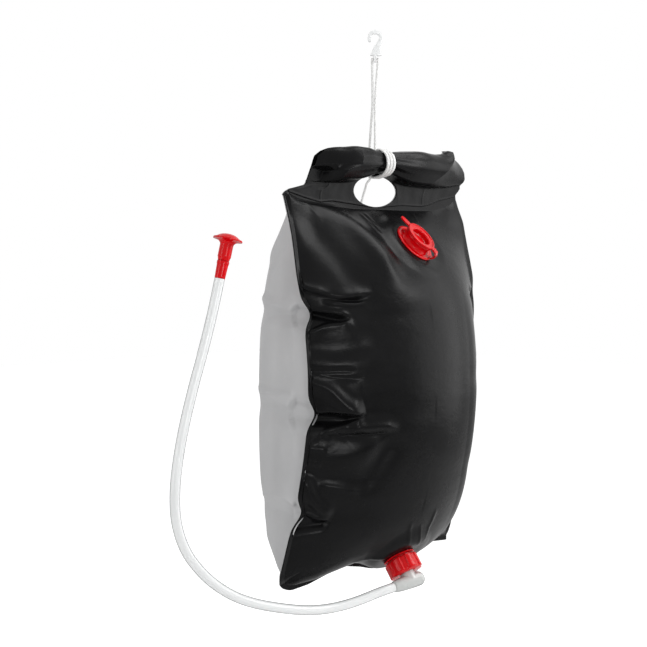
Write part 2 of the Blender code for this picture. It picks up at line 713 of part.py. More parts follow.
# Cord
def taut_loop(clearance):
    """The way of a taut cord round the sleeve's waist, in (y, z), at even angles and starting at the rear."""
    edge = WRAP_TURNS / 2 * WRAP_PITCH + CORD_D
    low = BAND_TOP_Z + SLEEVE_PINCH_LOW * sleeve_pinch(edge) - MERGE_DIST
    section = [(y, z) for y, z in sleeve_section(edge) + sleeve_section(0.0) if z >= low]
    hole_top = HAND_HOLE_Z + HAND_HOLE_TALL / 2
    skirt = FIT_GAP / 2 + FILM + FIT_GAP
    section += [(-skirt, hole_top), (skirt, hole_top)]
    points = np.array(section)
    rim = []
    for k in range(RIM_STEPS):
        a = math.tau * k / RIM_STEPS
        normal = np.array((math.cos(a), math.sin(a)))
        rim.append(points[(points @ normal).argmax()] + normal * clearance)
    rim = np.array(rim)
    centre = (rim.max(0) + rim.min(0)) / 2
    angles = np.unwrap(np.arctan2(rim[:, 1] - centre[1], rim[:, 0] - centre[0]))
    order = np.argsort(angles)
    angles, rim = angles[order], rim[order]
    wanted = -math.tau * np.arange(WRAP_LOOP_POINTS) / WRAP_LOOP_POINTS
    wanted = (wanted - angles[0]) % math.tau + angles[0]
    ys = np.interp(wanted, np.append(angles, angles[0] + math.tau), np.append(rim[:, 0], rim[0, 0]))
    zs = np.interp(wanted, np.append(angles, angles[0] + math.tau), np.append(rim[:, 1], rim[0, 1]))
    return list(zip(ys, zs))


def wrap_points():
    """The winding, from the rear at +X, down, under, up the front and over, to the rear below at -X."""
    clearance = FILM + CORD_SEAT_GAP + CORD_D / 2
    loop = taut_loop(clearance)
    total = WRAP_TURNS * WRAP_LOOP_POINTS + WRAP_EXTRA_POINTS
    points = []
    for k in range(total + 1):
        y, z = loop[k % WRAP_LOOP_POINTS]
        x = WRAP_PITCH * (WRAP_TURNS / 2 - k / WRAP_LOOP_POINTS)
        points.append(Vector((x, y, z)))
    return points


def hang_points():
    """From the knot behind the sleeve up one strand, through the hook's eye and down to the winding."""
    half_gap = HOOK_WEB_THICK / 2 + FIT_GAP + CORD_D / 2
    bend = EYE + Vector((0, 0, FIT_GAP / 2 - half_gap))
    loop = []
    for k in range(BEND_STEPS + 1):
        a = math.pi * k / BEND_STEPS
        loop.append(bend - HOOK_ALONG * half_gap * math.cos(a) + Vector((0, 0, half_gap * math.sin(a))))
    knot_top = KNOT_PLACE + Vector((0, 0, KNOT_TALL / 2 + FIT_GAP))
    wrap_top = WRAP_POINTS[0] + Vector((0, 0, FIT_GAP))
    meet_y = wrap_top.y * CORD_MEET_DROP / (EYE.z - wrap_top.z)
    meet = EYE + Vector((0, meet_y, -CORD_MEET_DROP))
    side = HOOK_ALONG * (CORD_D + CORD_SEAT_GAP) / 2
    left = [knot_top, (knot_top + meet - side) / 2, meet - side]
    right = [meet + side, (wrap_top + meet + side) / 2, wrap_top]
    return left + loop + right


tail_route = ((-0.0085, 0.0052, -0.1800), (-0.0115, 0.0056, -0.1880), (-0.0145, 0.0060, -0.1960),
              (-0.0172, 0.0066, -0.2035), (-0.0205, 0.0105, -0.2088))


def tail_points():
    last = WRAP_POINTS[-1]
    way = (WRAP_POINTS[-1] - WRAP_POINTS[-2]).normalized()
    start = last + way * FIT_GAP
    end = TAIL_KNOT_PLACE - TAIL_DIRECTION * (TAIL_KNOT_TALL / 2 + FIT_GAP)
    return [start, start + way * CORD_D] + [Vector(p) for p in tail_route] + [end]


def least_gap(points, diameter, skip):
    pts = np.array([list(p) for p in points])
    gaps = [np.linalg.norm(pts[i + skip:] - pts[i], axis=1).min() for i in range(len(pts) - skip)]
    return float(min(gaps)) - diameter


def knot(name, radius, tall, place):
    profile = [(0.0, tall / 2)]
    for k in range(1, BEND_STEPS):
        a = math.pi * k / BEND_STEPS
        profile.append((radius * math.sin(a) ** KNOT_ROUND_POWER, tall / 2 * math.cos(a)))
    profile.append((0.0, -tall / 2))
    turned_part(name, profile, WHITE_CORD, 0.8, place, steps=SMALL_STEPS)


def cord_tube(name, points):
    new_part(name, tube_curve(name, points, CORD_D / 2, 1), WHITE_CORD, 0.8)


def build_cord():
    cord_tube("hang_cord", hang_points())
    cord_tube("cord_wrap", WRAP_POINTS)
    cord_tube("cord_tail", smooth_route(tail_points(), TAIL_STEP))
    knot("cord_knot", KNOT_R, KNOT_TALL, frame_at(KNOT_PLACE, (0, 0, 1), (1, 0, 0)))
    knot("tail_knot", TAIL_KNOT_R, TAIL_KNOT_TALL, frame_at(TAIL_KNOT_PLACE, TAIL_DIRECTION, (1, 0, 0)))
    gap = least_gap(WRAP_POINTS, CORD_D, WRAP_LOOP_POINTS // 2)
    print("cord winding: least gap to itself %.2f mm" % (gap * 1000))


# Filler valve, in its own frame: +Z out of the bag, +X down the slope towards the hinge
def build_filler():
    face = FILM + FIT_GAP
    flange_r, neck_r = FILLER_FLANGE_D / 2, FILLER_NECK_D / 2
    bore_r, lip_r = FILLER_BORE_D / 2, FILLER_LIP_D / 2
    top = face + FILLER_FLANGE_THICK + FILLER_NECK_TALL
    profile = [(bore_r, top), (neck_r - FILLER_ROUND / 2, top), (neck_r, top - FILLER_ROUND / 2),
               (neck_r, face + FILLER_FLANGE_THICK + FILLER_ROUND),
               (neck_r + FILLER_ROUND, face + FILLER_FLANGE_THICK),
               (flange_r - FILLER_ROUND, face + FILLER_FLANGE_THICK),
               (flange_r, face + FILLER_FLANGE_THICK / 2), (flange_r, face), (lip_r, face),
               (lip_r, -FILLER_NECK_DEEP), (bore_r, -FILLER_NECK_DEEP)]
    turned_part("filler_flange", profile, RED_PLASTIC, 0.3, FILLER_FRAME, steps=WIDE_STEPS)
    build_lid(top)
    build_strap(face + FILLER_FLANGE_THICK, top)


def build_lid(neck_top):
    low = neck_top + FIT_GAP
    top = low + LID_THICK
    hinge_x = LID_D / 2 + LID_HINGE_OUT
    hinge_z = low + LID_THICK / 2
    pivot = new_empty("lid_pivot", FILLER_FRAME @ Matrix.Translation((hinge_x, 0, hinge_z)))
    plug_top_r = FILLER_BORE_D / 2 - FIT_GAP
    plug_low_r = plug_top_r - PLUG_TAPER
    cup_r = plug_low_r - PLUG_WALL
    lid_r = LID_D / 2
    profile = [(0.0, low - PLUG_DEEP + PLUG_WALL), (cup_r, low - PLUG_DEEP + PLUG_WALL), (cup_r, top),
               (lid_r - LID_RIM_W, top), (lid_r - LID_RIM_W, top + LID_RIM_TALL),
               (lid_r - LID_RIM_W / 4, top + LID_RIM_TALL), (lid_r, top + LID_RIM_TALL / 2), (lid_r, low),
               (plug_top_r, low), (plug_low_r, low - PLUG_DEEP), (0.0, low - PLUG_DEEP)]
    lid = new_part("filler_lid", turned_mesh("filler_lid", profile), RED_PLASTIC, 0.3)
    add_screw(lid, WIDE_STEPS)
    put(lid, FILLER_FRAME, pivot)
    boolean(lid, lid_tab(hinge_z), "UNION")
    boolean(lid, lid_lug(hinge_x, hinge_z), "UNION")


def lid_tab(height):
    root = LID_D / 2 - LID_RIM_W / 2
    end = LID_D / 2 + TAB_LONG
    round_r = TAB_W / 2 * TAB_END_SHARE
    points = [(-root, -TAB_W / 2), (-root, TAB_W / 2)]
    for k in range(BEND_STEPS + 1):
        a = math.pi / 2 - math.pi * k / BEND_STEPS
        points.append((-end + round_r - round_r * math.cos(a), round_r * math.sin(a)))
    tab = new_cutter("lid_tab_shape", outline_mesh("lid_tab_shape", points, TAB_THICK))
    return put(tab, FILLER_FRAME @ Matrix.Translation((0, 0, height)))


def lid_lug(hinge_x, hinge_z):
    root = LID_D / 2 - LID_RIM_W / 2
    half = LID_KNUCKLE_R * LID_LUG_SHARE
    points = [(root - hinge_x, half)]
    for k in range(BEND_STEPS + 1):
        a = LID_KNUCKLE_ARC * (1 - 2 * k / BEND_STEPS)
        points.append((LID_KNUCKLE_R * math.cos(a), LID_KNUCKLE_R * math.sin(a)))
    points.append((root - hinge_x, -half))
    lug = new_cutter("lid_lug_shape", outline_mesh("lid_lug_shape", points, STRAP_W))
    side_on = FILLER_FRAME @ Matrix.Translation((hinge_x, 0, hinge_z)) @ Matrix.Rotation(math.pi / 2, 4, "X")
    return put(lug, side_on)


def build_strap(foot_z, neck_top):
    """A band that bows out from the flange's edge and ends at the lid's knuckle."""
    hinge_x = LID_D / 2 + LID_HINGE_OUT
    hinge_z = neck_top + FIT_GAP + LID_THICK / 2
    foot_x = FILLER_FLANGE_D / 2 - STRAP_THICK
    foot = foot_z + FIT_GAP
    stop = LID_KNUCKLE_R + FIT_GAP
    end_x = hinge_x + stop * math.cos(STRAP_LEAD)
    end_z = hinge_z + stop * math.sin(STRAP_LEAD)
    bow = hinge_x + STRAP_BOW
    low, middle, high = [foot + (hinge_z - foot) * share for share in strap_rise_shares]
    side = [(foot_x - STRAP_THICK, foot + STRAP_THICK / 2), (foot_x + STRAP_THICK, foot + STRAP_THICK / 2)]
    side += [(bow - STRAP_THICK, low), (bow, middle), (bow - STRAP_THICK, high)]
    side += [(end_x + STRAP_THICK, (end_z + hinge_z) / 2), (end_x, end_z)]
    way = smooth_route([(x, 0.0, z) for x, z in side], STRAP_THICK)
    outer, inner = [], []
    for k, p in enumerate(way):
        along = (way[min(k + 1, len(way) - 1)] - way[max(k - 1, 0)]).normalized()
        off = Vector((along.z, 0.0, -along.x)) * STRAP_THICK / 2
        outer.append((p.x + off.x, p.z + off.z))
        inner.append((p.x - off.x, p.z - off.z))
    mesh = outline_mesh("filler_strap", outer + inner[::-1], STRAP_W)
    strap = new_part("filler_strap", mesh, RED_PLASTIC, 0.3)
    put(strap, FILLER_FRAME @ Matrix.Rotation(math.pi / 2, 4, "X"))


# Outlet, in its own frame: +Z out of the bag along the outlet axis, +X along the barrel to the hose
def spout_end():
    return FILM + SPOUT_TALL


def build_spout():
    face = FILM + FIT_GAP
    flange_r, neck_r, bore_r = SPOUT_FLANGE_D / 2, SPOUT_D / 2, SPOUT_BORE_D / 2
    profile = [(bore_r, spout_end()), (neck_r, spout_end()), (neck_r, face + SPOUT_FLANGE_THICK),
               (flange_r, face + SPOUT_FLANGE_THICK), (flange_r, face), (neck_r, face),
               (neck_r, -SPOUT_DEEP), (bore_r, -SPOUT_DEEP)]
    turned_part("outlet_spout", profile, RED_PLASTIC, 0.3, OUTLET_FRAME, steps=WIDE_STEPS)


def build_seal():
    low = spout_end() + FIT_GAP
    outer, bore = SPOUT_D / 2 - FIT_GAP, SPOUT_BORE_D / 2
    profile = [(bore, low + SEAL_THICK), (outer, low + SEAL_THICK), (outer, low), (bore, low)]
    turned_part("outlet_seal", profile, SEAL_RUBBER, 0.7, OUTLET_FRAME, OUTLET_PIVOT)


def build_nut():
    start = FILM + NUT_START
    rib_r, groove_r = NUT_RIB_D / 2, NUT_GROOVE_D / 2
    pitch = math.tau / NUT_RIBS
    points = []
    for k in range(NUT_RIBS):
        middle = pitch * k
        rib, flank = pitch * NUT_RIB_SHARE / 2, pitch * NUT_FLANK_SHARE
        for a, r in ((middle - rib - flank, groove_r), (middle - rib, rib_r), (middle, rib_r),
                     (middle + rib, rib_r), (middle + rib + flank, groove_r), (middle + pitch / 2, groove_r)):
            points.append((r * math.cos(a), r * math.sin(a)))
    nut = new_part("outlet_nut", outline_mesh("outlet_nut", points, NUT_TALL), RED_PLASTIC, 0.3)
    bevel(nut, NUT_EDGE)
    put(nut, OUTLET_FRAME @ Matrix.Translation((0, 0, start + NUT_TALL / 2)), OUTLET_PIVOT)
    end = start + NUT_TALL
    hole_r = ELBOW_NECK_D / 2 + FIT_GAP
    thread_r = SPOUT_D / 2 + FIT_GAP
    shoulder = end - NUT_END_WALL
    profile = [(0.0, end + CUT_OVERRUN), (hole_r, end + CUT_OVERRUN), (hole_r, shoulder), (thread_r, shoulder),
               (thread_r, start - CUT_OVERRUN), (0.0, start - CUT_OVERRUN)]
    boolean(nut, turned_cutter("nut_bore_cutter", profile, OUTLET_FRAME, WIDE_STEPS))


def spigot_profile(base):
    """Outer side of a hose spigot that runs along +Z from base, top to bottom."""
    barb_r = HOSE_BORE_D / 2 - FIT_GAP
    core_r = barb_r - BARB_TALL * 2
    step = SPIGOT_LONG / (BARBS + 1)
    points = [(core_r, base + SPIGOT_LONG)]
    for k in range(BARBS, 0, -1):
        points += [(barb_r, base + step * k), (core_r, base + step * k - BARB_TALL * 4)]
    return points + [(core_r, base)]


def build_elbow():
    flange_low = spout_end() + SEAL_THICK + FIT_GAP * 2
    flange_top = flange_low + ELBOW_FLANGE_THICK
    axis_z = FILM + ELBOW_AXIS_DROP
    flange_r, neck_r = SPOUT_D / 2 - FIT_GAP, ELBOW_NECK_D / 2
    neck_profile = [(0.0, axis_z), (neck_r, axis_z), (neck_r, flange_top), (flange_r, flange_top),
                    (flange_r, flange_low), (0.0, flange_low)]
    elbow = new_part("outlet_elbow", turned_mesh("outlet_elbow", neck_profile), CLEAR_PLASTIC, 0.25)
    add_screw(elbow, ROUND_STEPS)
    put(elbow, OUTLET_FRAME, OUTLET_PIVOT)
    barrel_r = ELBOW_BARREL_D / 2
    hose_end, closed_end = ELBOW_HOSE_SIDE, -ELBOW_CLOSED_SIDE
    profile = [(0.0, hose_end + SPIGOT_LONG)] + spigot_profile(hose_end)
    profile += [(HOSE_D / 2, hose_end), (barrel_r, hose_end - (barrel_r - HOSE_D / 2))]
    for k in range(ELBOW_DOME_STEPS):
        a = math.pi / 2 * k / ELBOW_DOME_STEPS
        profile.append((barrel_r * math.cos(a), closed_end + ELBOW_DOME_TALL * (1 - math.sin(a))))
    profile.append((0.0, closed_end))
    barrel = turned_cutter("elbow_barrel_shape", profile, BARREL_FRAME)
    boolean(elbow, barrel, "UNION")
    neck_low = flange_low - CUT_OVERRUN
    boolean(elbow, drum_cutter("elbow_neck_bore_cutter", ELBOW_NECK_BORE_D / 2, neck_low, axis_z, OUTLET_FRAME))
    spigot_end = hose_end + SPIGOT_LONG + CUT_OVERRUN
    bore_r = barrel_r - ELBOW_WALL
    bore = [(0.0, spigot_end), (SPIGOT_BORE_R, spigot_end), (SPIGOT_BORE_R, hose_end - ELBOW_WALL)]
    bore += [(bore_r, hose_end - ELBOW_WALL * 2), (bore_r, closed_end + barrel_r)]
    bore += [(0.0, closed_end + ELBOW_WALL * 2)]
    boolean(elbow, turned_cutter("elbow_bore_cutter", bore, BARREL_FRAME))


# Hose and shower head
def hose_points():
    """The hose lies straight over each spigot and follows its route between them."""
    straight = SPIGOT_LONG * HOSE_STRAIGHT_SHARE
    start = BARREL_FRAME @ Vector((0, 0, ELBOW_HOSE_SIDE + FIT_GAP))
    along = BARREL_FRAME.to_3x3() @ Vector((0, 0, 1))
    way = [Vector(p) for p in hose_route]
    end = way[-1]
    axis = (way[-1] - way[-2]).normalized()
    return ([start, start + along * straight / 2, start + along * straight] + way[:-1]
            + [end - axis * straight, end - axis * straight / 2, end])


def build_hose():
    points = smooth_route(hose_points(), HOSE_STEP)
    mesh = curve_to_mesh("hose", tube_curve("hose", points, HOSE_D / 2, 3))
    hose = new_part("hose", mesh, CLEAR_PLASTIC, 0.2)
    put(hose, Matrix.Identity(4), OUTLET_PIVOT)
    first, last = points[0] - points[1], points[-1] - points[-2]
    bore_points = [points[0] + first.normalized() * CUT_OVERRUN] + points[1:-1]
    bore_points += [points[-1] + last.normalized() * CUT_OVERRUN]
    bore_mesh = curve_to_mesh("hose_bore_cutter", tube_curve("hose_bore", bore_points, HOSE_BORE_D / 2, 4))
    boolean(hose, new_cutter("hose_bore_cutter", bore_mesh))
    print("hose length %.3f m" % run_lengths(points)[-1])


def head_frame():
    points = smooth_route(hose_points(), HOSE_STEP)
    axis = (points[-1] - points[-3]).normalized()
    return frame_at(points[-1] + axis * FIT_GAP, axis, (0, -1, 0))


def build_head():
    body_r, low_r, bore_r = HEAD_BODY_TOP_D / 2, HEAD_BODY_LOW_D / 2, HEAD_BORE_D / 2
    profile = [(bore_r, HEAD_BODY_TALL), (body_r, HEAD_BODY_TALL), (low_r, 0.0)]
    profile += [(r, -z) for r, z in reversed(spigot_profile(0.0))]
    profile += [(SPIGOT_BORE_R, -SPIGOT_LONG), (SPIGOT_BORE_R, HEAD_FLOOR), (bore_r, HEAD_FLOOR)]
    turned_part("shower_body", profile, RED_PLASTIC, 0.25, HEAD_FRAME, OUTLET_PIVOT)
    rose_pivot = new_empty("rose_pivot", HEAD_FRAME, OUTLET_PIVOT)
    build_rose(rose_pivot)


def build_rose(pivot):
    seat = HEAD_BODY_TALL + FIT_GAP
    stem_r, water_r, collar_r = ROSE_STEM_D / 2, ROSE_STEM_BORE_D / 2, ROSE_COLLAR_D / 2
    barrel_r, rose_r = ROSE_BARREL_D / 2, ROSE_D / 2
    rim = seat + ROSE_TALL
    flare = rim - ROSE_RIM_TALL
    ring_r = HEAD_BORE_D / 2 - FIT_GAP - ORING_D / 2
    groove_r = ring_r - ORING_D / 2 - FIT_GAP
    groove_z = seat - ROSE_STEM_LONG + ORING_SEAT
    cup_r = rose_r - ROSE_WALL
    groove_half = ORING_D / 2 + FIT_GAP
    profile = [(cup_r, rim), (rose_r - ROSE_WALL / 3, rim), (rose_r, rim - ROSE_RIM_TALL / 3), (rose_r, flare)]
    flare_w = rose_r - barrel_r
    ledge = rim - ROSE_LEDGE_DEEP
    funnel = [(cup_r, ledge), (cup_r - ROSE_LEDGE_W, ledge)]
    for k in range(1, ROSE_FLARE_STEPS + 1):
        a = math.pi / 2 * k / ROSE_FLARE_STEPS
        r, z = rose_r - flare_w * math.sin(a), flare - flare_w * ROSE_FLARE_SHARE * (1 - math.cos(a))
        profile.append((r, z))
        if r - ROSE_WALL < cup_r - ROSE_LEDGE_W * 1.5:
            funnel.append((r - ROSE_WALL, z + ROSE_WALL))
    profile += [(collar_r, seat), (stem_r, seat), (stem_r, groove_z + groove_half),
                (groove_r, groove_z + groove_half), (groove_r, groove_z - groove_half),
                (stem_r, groove_z - groove_half), (stem_r, seat - ROSE_STEM_LONG),
                (water_r, seat - ROSE_STEM_LONG), (water_r, funnel[-1][1] - ROSE_WALL)]
    profile += funnel[::-1]
    turned_part("shower_rose", profile, RED_PLASTIC, 0.25, HEAD_FRAME, pivot)
    ring = []
    for k in range(ORING_STEPS):
        a = math.pi / 2 - math.tau * k / ORING_STEPS
        ring.append((ring_r + ORING_D / 2 * math.cos(a), groove_z + ORING_D / 2 * math.sin(a)))
    turned_part("shower_seal", ring, SEAL_RUBBER, 0.6, HEAD_FRAME, pivot, steps=SMALL_STEPS)
    build_plate(ledge, cup_r, pivot)


def build_plate(ledge, cup_r, pivot):
    edge_r = cup_r - FIT_GAP
    low = ledge + FIT_GAP
    shares = [k / PLATE_STEPS for k in range(PLATE_STEPS + 1)]
    profile = [(edge_r * share, low + PLATE_THICK + PLATE_DOME * (1 - share ** 2)) for share in shares]
    profile += [(edge_r * share, low + PLATE_DOME * (1 - share ** 2)) for share in reversed(shares)]
    plate = turned_part("rose_plate", profile, RED_PLASTIC, 0.25, HEAD_FRAME, pivot)
    bm = bmesh.new()
    places = [(0.0, 0.0)]
    for ring in range(1, PLATE_RINGS + 1):
        for k in range(PLATE_RING_HOLES * ring):
            a = math.tau * k / (PLATE_RING_HOLES * ring)
            places.append((PLATE_RING_STEP * ring * math.cos(a), PLATE_RING_STEP * ring * math.sin(a)))
    deep = PLATE_DOME + PLATE_THICK + CUT_OVERRUN * 2
    hole_r = PLATE_HOLE_D / 2
    for x, y in places:
        place = Matrix.Translation((x, y, low + deep / 2 - CUT_OVERRUN))
        bmesh.ops.create_cone(bm, cap_ends=True, segments=6, radius1=hole_r, radius2=hole_r, depth=deep,
                              matrix=place)
    mesh = bpy.data.meshes.new("rose_holes_cutter")
    bm.to_mesh(mesh)
    bm.free()
    boolean(plate, put(new_cutter("rose_holes_cutter", mesh), HEAD_FRAME))


clear_scene()
PARTS = collection("camp_shower_bag")
CUTTERS = collection("cutters")

HOOK_ALONG = Vector((math.cos(HOOK_TURN), math.sin(HOOK_TURN), 0.0))
VIEW_BACK = Vector((math.sin(HOOK_TURN), -math.cos(HOOK_TURN), 0.0))
EYE = Vector((0.0, 0.0, -HOOK_SHANK_LEN - HOOK_EYE_DROP))
FILLER_SEAT = filler_seat()
slope_down = -(Vector((0, 0, 1)) - FILLER_LEAN * FILLER_LEAN.z).normalized()
FILLER_FRAME = frame_at(FILLER_SEAT, FILLER_LEAN, Matrix.Rotation(TAB_TURN, 3, FILLER_LEAN) @ slope_down)
OUTLET_SEAT = film_point(-1, 0.0, OUTLET_SHARE) - OUTLET_AXIS * OUTLET_SINK
barrel_towards = Matrix.Rotation(ELBOW_TURN, 3, OUTLET_AXIS) @ Vector((-1, 0, 0))
OUTLET_FRAME = frame_at(OUTLET_SEAT, OUTLET_AXIS, barrel_towards)
barrel_middle = OUTLET_SEAT + OUTLET_AXIS * (FILM + ELBOW_AXIS_DROP)
BARREL_FRAME = frame_at(barrel_middle, barrel_towards, OUTLET_AXIS)
OUTLET_PIVOT = new_empty("outlet_pivot", OUTLET_FRAME)
WRAP_POINTS = wrap_points()
KNOT_PLACE = Vector((0.0, WRAP_POINTS[0].y + CORD_D / 2 + KNOT_R + CORD_SEAT_GAP, WRAP_POINTS[0].z))
TAIL_DIRECTION = Vector((-0.45, 0.88, -0.10)).normalized()
TAIL_KNOT_PLACE = Vector((-0.0270, 0.0210, -0.2092))
HEAD_FRAME = head_frame()

HAND_HOLE = hand_hole_cutter()
build_sheets(HAND_HOLE)
build_sleeve(HAND_HOLE)
build_rod()
build_hook()
build_cord()
build_filler()
build_spout()
build_seal()
build_nut()
build_elbow()
build_hose()
build_head()
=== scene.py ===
# Camp shower bag, the looks: black and grey film, white cord, red fittings, milky hose and hook.
# Metres, +Z up, in the CAD's frame: the origin is the seat of the hook's throat and -Y is the bag's front.
import math

import bmesh
import bpy
import numpy as np
from mathutils import Matrix, Vector


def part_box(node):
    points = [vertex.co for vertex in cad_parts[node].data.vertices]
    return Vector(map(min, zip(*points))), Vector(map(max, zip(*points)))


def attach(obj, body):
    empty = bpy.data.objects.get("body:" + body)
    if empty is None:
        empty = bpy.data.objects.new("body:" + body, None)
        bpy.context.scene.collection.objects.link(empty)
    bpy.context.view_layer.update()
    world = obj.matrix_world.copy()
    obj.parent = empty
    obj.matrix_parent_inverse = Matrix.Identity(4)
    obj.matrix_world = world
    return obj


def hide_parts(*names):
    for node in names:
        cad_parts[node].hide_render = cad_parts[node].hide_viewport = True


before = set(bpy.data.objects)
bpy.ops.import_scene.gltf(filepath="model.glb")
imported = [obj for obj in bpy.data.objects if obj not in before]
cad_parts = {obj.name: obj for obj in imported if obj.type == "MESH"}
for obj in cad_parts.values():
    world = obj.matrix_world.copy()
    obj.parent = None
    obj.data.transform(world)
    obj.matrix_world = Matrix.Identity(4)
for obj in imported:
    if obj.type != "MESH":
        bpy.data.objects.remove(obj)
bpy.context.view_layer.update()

MM = 0.001

# Camera, at the photograph's viewing angle, in a frame of 647 x 647 pixels
FRAME_PIXELS = 647
FOCAL_PIXELS = 1450
SENSOR_MM = 36.0
CAMERA_PLACE = Vector((-1.295670, -1.207518, -0.264245))
CAMERA_FORWARD = Vector((0.70626, 0.70626, -0.04885))

# Sizes shared with the CAD
FIT_GAP = 0.0003
CURVE_STEPS = 12
TINY = 1e-9
FILM = 0.0008
SKIRT_OUT = FIT_GAP / 2 + FILM + FIT_GAP

HOOK_THICK = 0.0064
HOOK_THROAT_R = 0.005
HOOK_WALL = 0.0040
HOOK_EDGE_R = 0.0012
HOOK_SHANK_LEN = 0.0265
HOOK_FOOT_LEFT = 0.0056
HOOK_FOOT_RIGHT = 0.0081
HOOK_FOOT_TALL = 0.0016
HOOK_WEB_THICK = 0.0035
HOOK_EYE_DROP = 0.0030
HOOK_EYE_W = 0.0038
HOOK_EYE_TALL = 0.0046
HOOK_EYE_WALL = 0.0022
HOOK_TURN = math.radians(-45)

CORD_D = 0.0028
CORD_MEET_DROP = 0.052
CORD_SEAT_GAP = 0.0004
WRAP_TURNS = 3
WRAP_PITCH = 0.0034
WRAP_LOOP_POINTS = 24
WRAP_EXTRA_POINTS = 3
RIM_STEPS = 360
KNOT_R = 0.0038
KNOT_TALL = 0.0090
TAIL_KNOT_R = 0.0036
TAIL_KNOT_TALL = 0.0080

BAND_TOP_Z = -0.1818
BAG_TOP_Z = -0.2124
BAG_TALL = 0.4302
TOP_HALF_W, MID_HALF_W, LOW_HALF_W, RIGHT_LOW_HALF_W = 0.1535, 0.1495, 0.1590, 0.1390
FRONT_SWELL, REAR_SWELL, SEAM_FORWARD = 0.0560, 0.1778, 0.0431
WELD_W = 0.0063
PINCH_DEPTH, PINCH_TALL, PINCH_REACH = 0.0110, 0.0130, 0.0450
left_pinch_shares = (0.283, 0.546, 0.814)
right_pinch_shares = (0.235, 0.47, 0.735)
bottom_edge_shares = ((-1.0, 0.022), (-0.72, 0.012), (-0.36, -0.018), (0.0, 0.006), (0.36, -0.008),
                      (0.70, -0.036), (1.0, -0.030))
HAND_HOLE_W, HAND_HOLE_TALL, HAND_HOLE_Z = 0.0765, 0.0378, -0.1899

SLEEVE_HALF_W, SLEEVE_TOP_Z, SLEEVE_DEEP = 0.1505, -0.1395, 0.0330
SLEEVE_PINCH_TOP, SLEEVE_PINCH_LOW, SLEEVE_PINCH_DEEP, SLEEVE_PINCH_W = 0.0035, 0.0140, 0.0050, 0.0300
SLEEVE_SKIRT_Z, SLEEVE_SKIRT_DIP = -0.2066, 0.0050
SLEEVE_END_FLAT, SLEEVE_END_W = 0.0080, 0.0180
SLEEVE_ARC_POINTS = 14
SLEEVE_ARC = (math.radians(282), math.radians(-18))

FILLER_X, FILLER_Z = 0.0207, -0.2538
FILLER_LEAN = Vector((0.15, -0.74, 0.65)).normalized()
FILLER_FLANGE_D, FILLER_FLANGE_THICK = 0.0540, 0.0016
FILLER_NECK_D, FILLER_BORE_D, FILLER_LIP_D = 0.0390, 0.0310, 0.0360
FILLER_NECK_TALL, FILLER_NECK_DEEP = 0.0095, 0.0050
LID_D, LID_THICK, LID_RIM_W, LID_RIM_TALL = 0.0405, 0.0018, 0.0022, 0.0010
PLUG_DEEP, PLUG_WALL, PLUG_TAPER = 0.0070, 0.0022, 0.0012
LID_HINGE_OUT, LID_KNUCKLE_R = 0.0030, 0.0012
STRAP_W, STRAP_THICK, STRAP_BOW = 0.0085, 0.0016, 0.0062
STRAP_LEAD = math.radians(-25)
strap_rise_shares = (0.22, 0.52, 0.82)
TAB_LONG, TAB_W, TAB_THICK = 0.0135, 0.0085, 0.0016
TAB_TURN = math.radians(19)
FLAT_MARGIN, FLAT_BLEND = 0.0040, 0.022

OUTLET_Y, OUTLET_Z = -0.0405, -0.6318
OUTLET_AXIS = Vector((0.0, -0.6, -0.8))
SPOUT_FLANGE_D, SPOUT_FLANGE_THICK = 0.0460, 0.0016
SPOUT_D, SPOUT_BORE_D, SPOUT_TALL, SPOUT_DEEP = 0.0310, 0.0220, 0.0153, 0.0040
NUT_RIB_D, NUT_GROOVE_D, NUT_RIBS = 0.0420, 0.0388, 8
NUT_TALL, NUT_START, NUT_END_WALL, NUT_EDGE = 0.0185, 0.0040, 0.0025, 0.0010
SEAL_THICK = 0.0018
ELBOW_FLANGE_THICK, ELBOW_NECK_D, ELBOW_NECK_BORE_D = 0.0020, 0.0180, 0.0110
ELBOW_BARREL_D, ELBOW_AXIS_DROP, ELBOW_HOSE_SIDE, ELBOW_CLOSED_SIDE = 0.0175, 0.0330, 0.0252, 0.0180
ELBOW_WALL = 0.0022
ELBOW_DOME_TALL = 0.0044
ELBOW_TURN = math.radians(17)

HOSE_D, HOSE_BORE_D, HOSE_STEP, HOSE_LENGTH = 0.0115, 0.0085, 0.0150, 0.610
HOSE_STRAIGHT_SHARE = 1.25
SPIGOT_LONG, SPIGOT_WALL = 0.0140, 0.0013
SPIGOT_BORE_R = HOSE_BORE_D / 2 - FIT_GAP - SPIGOT_WALL
hose_route = ((-0.0500, -0.0480, -0.6685), (-0.0700, -0.0430, -0.6730), (-0.0900, -0.0380, -0.6762),
              (-0.1110, -0.0325, -0.6777), (-0.1300, -0.0280, -0.6770), (-0.1490, -0.0230, -0.6745),
              (-0.1680, -0.0180, -0.6705), (-0.1870, -0.0135, -0.6655), (-0.2060, -0.0090, -0.6595),
              (-0.2250, -0.0040, -0.6515), (-0.2430, 0.0000, -0.6410), (-0.2610, 0.0040, -0.6270),
              (-0.2770, 0.0085, -0.6095), (-0.2885, 0.0115, -0.5925), (-0.2965, 0.0132, -0.5740),
              (-0.3010, 0.0145, -0.5540), (-0.3020, 0.0150, -0.5330), (-0.3010, 0.0145, -0.5110),
              (-0.2980, 0.0140, -0.4900), (-0.2940, 0.0130, -0.4680), (-0.2890, 0.0118, -0.4460),
              (-0.2833, 0.0105, -0.4245), (-0.2773, 0.0090, -0.4030), (-0.2710, 0.0073, -0.3820),
              (-0.2648, 0.0058, -0.3600), (-0.2588, 0.0043, -0.3380), (-0.2532, 0.0030, -0.3155),
              (-0.2480, 0.0018, -0.2930))
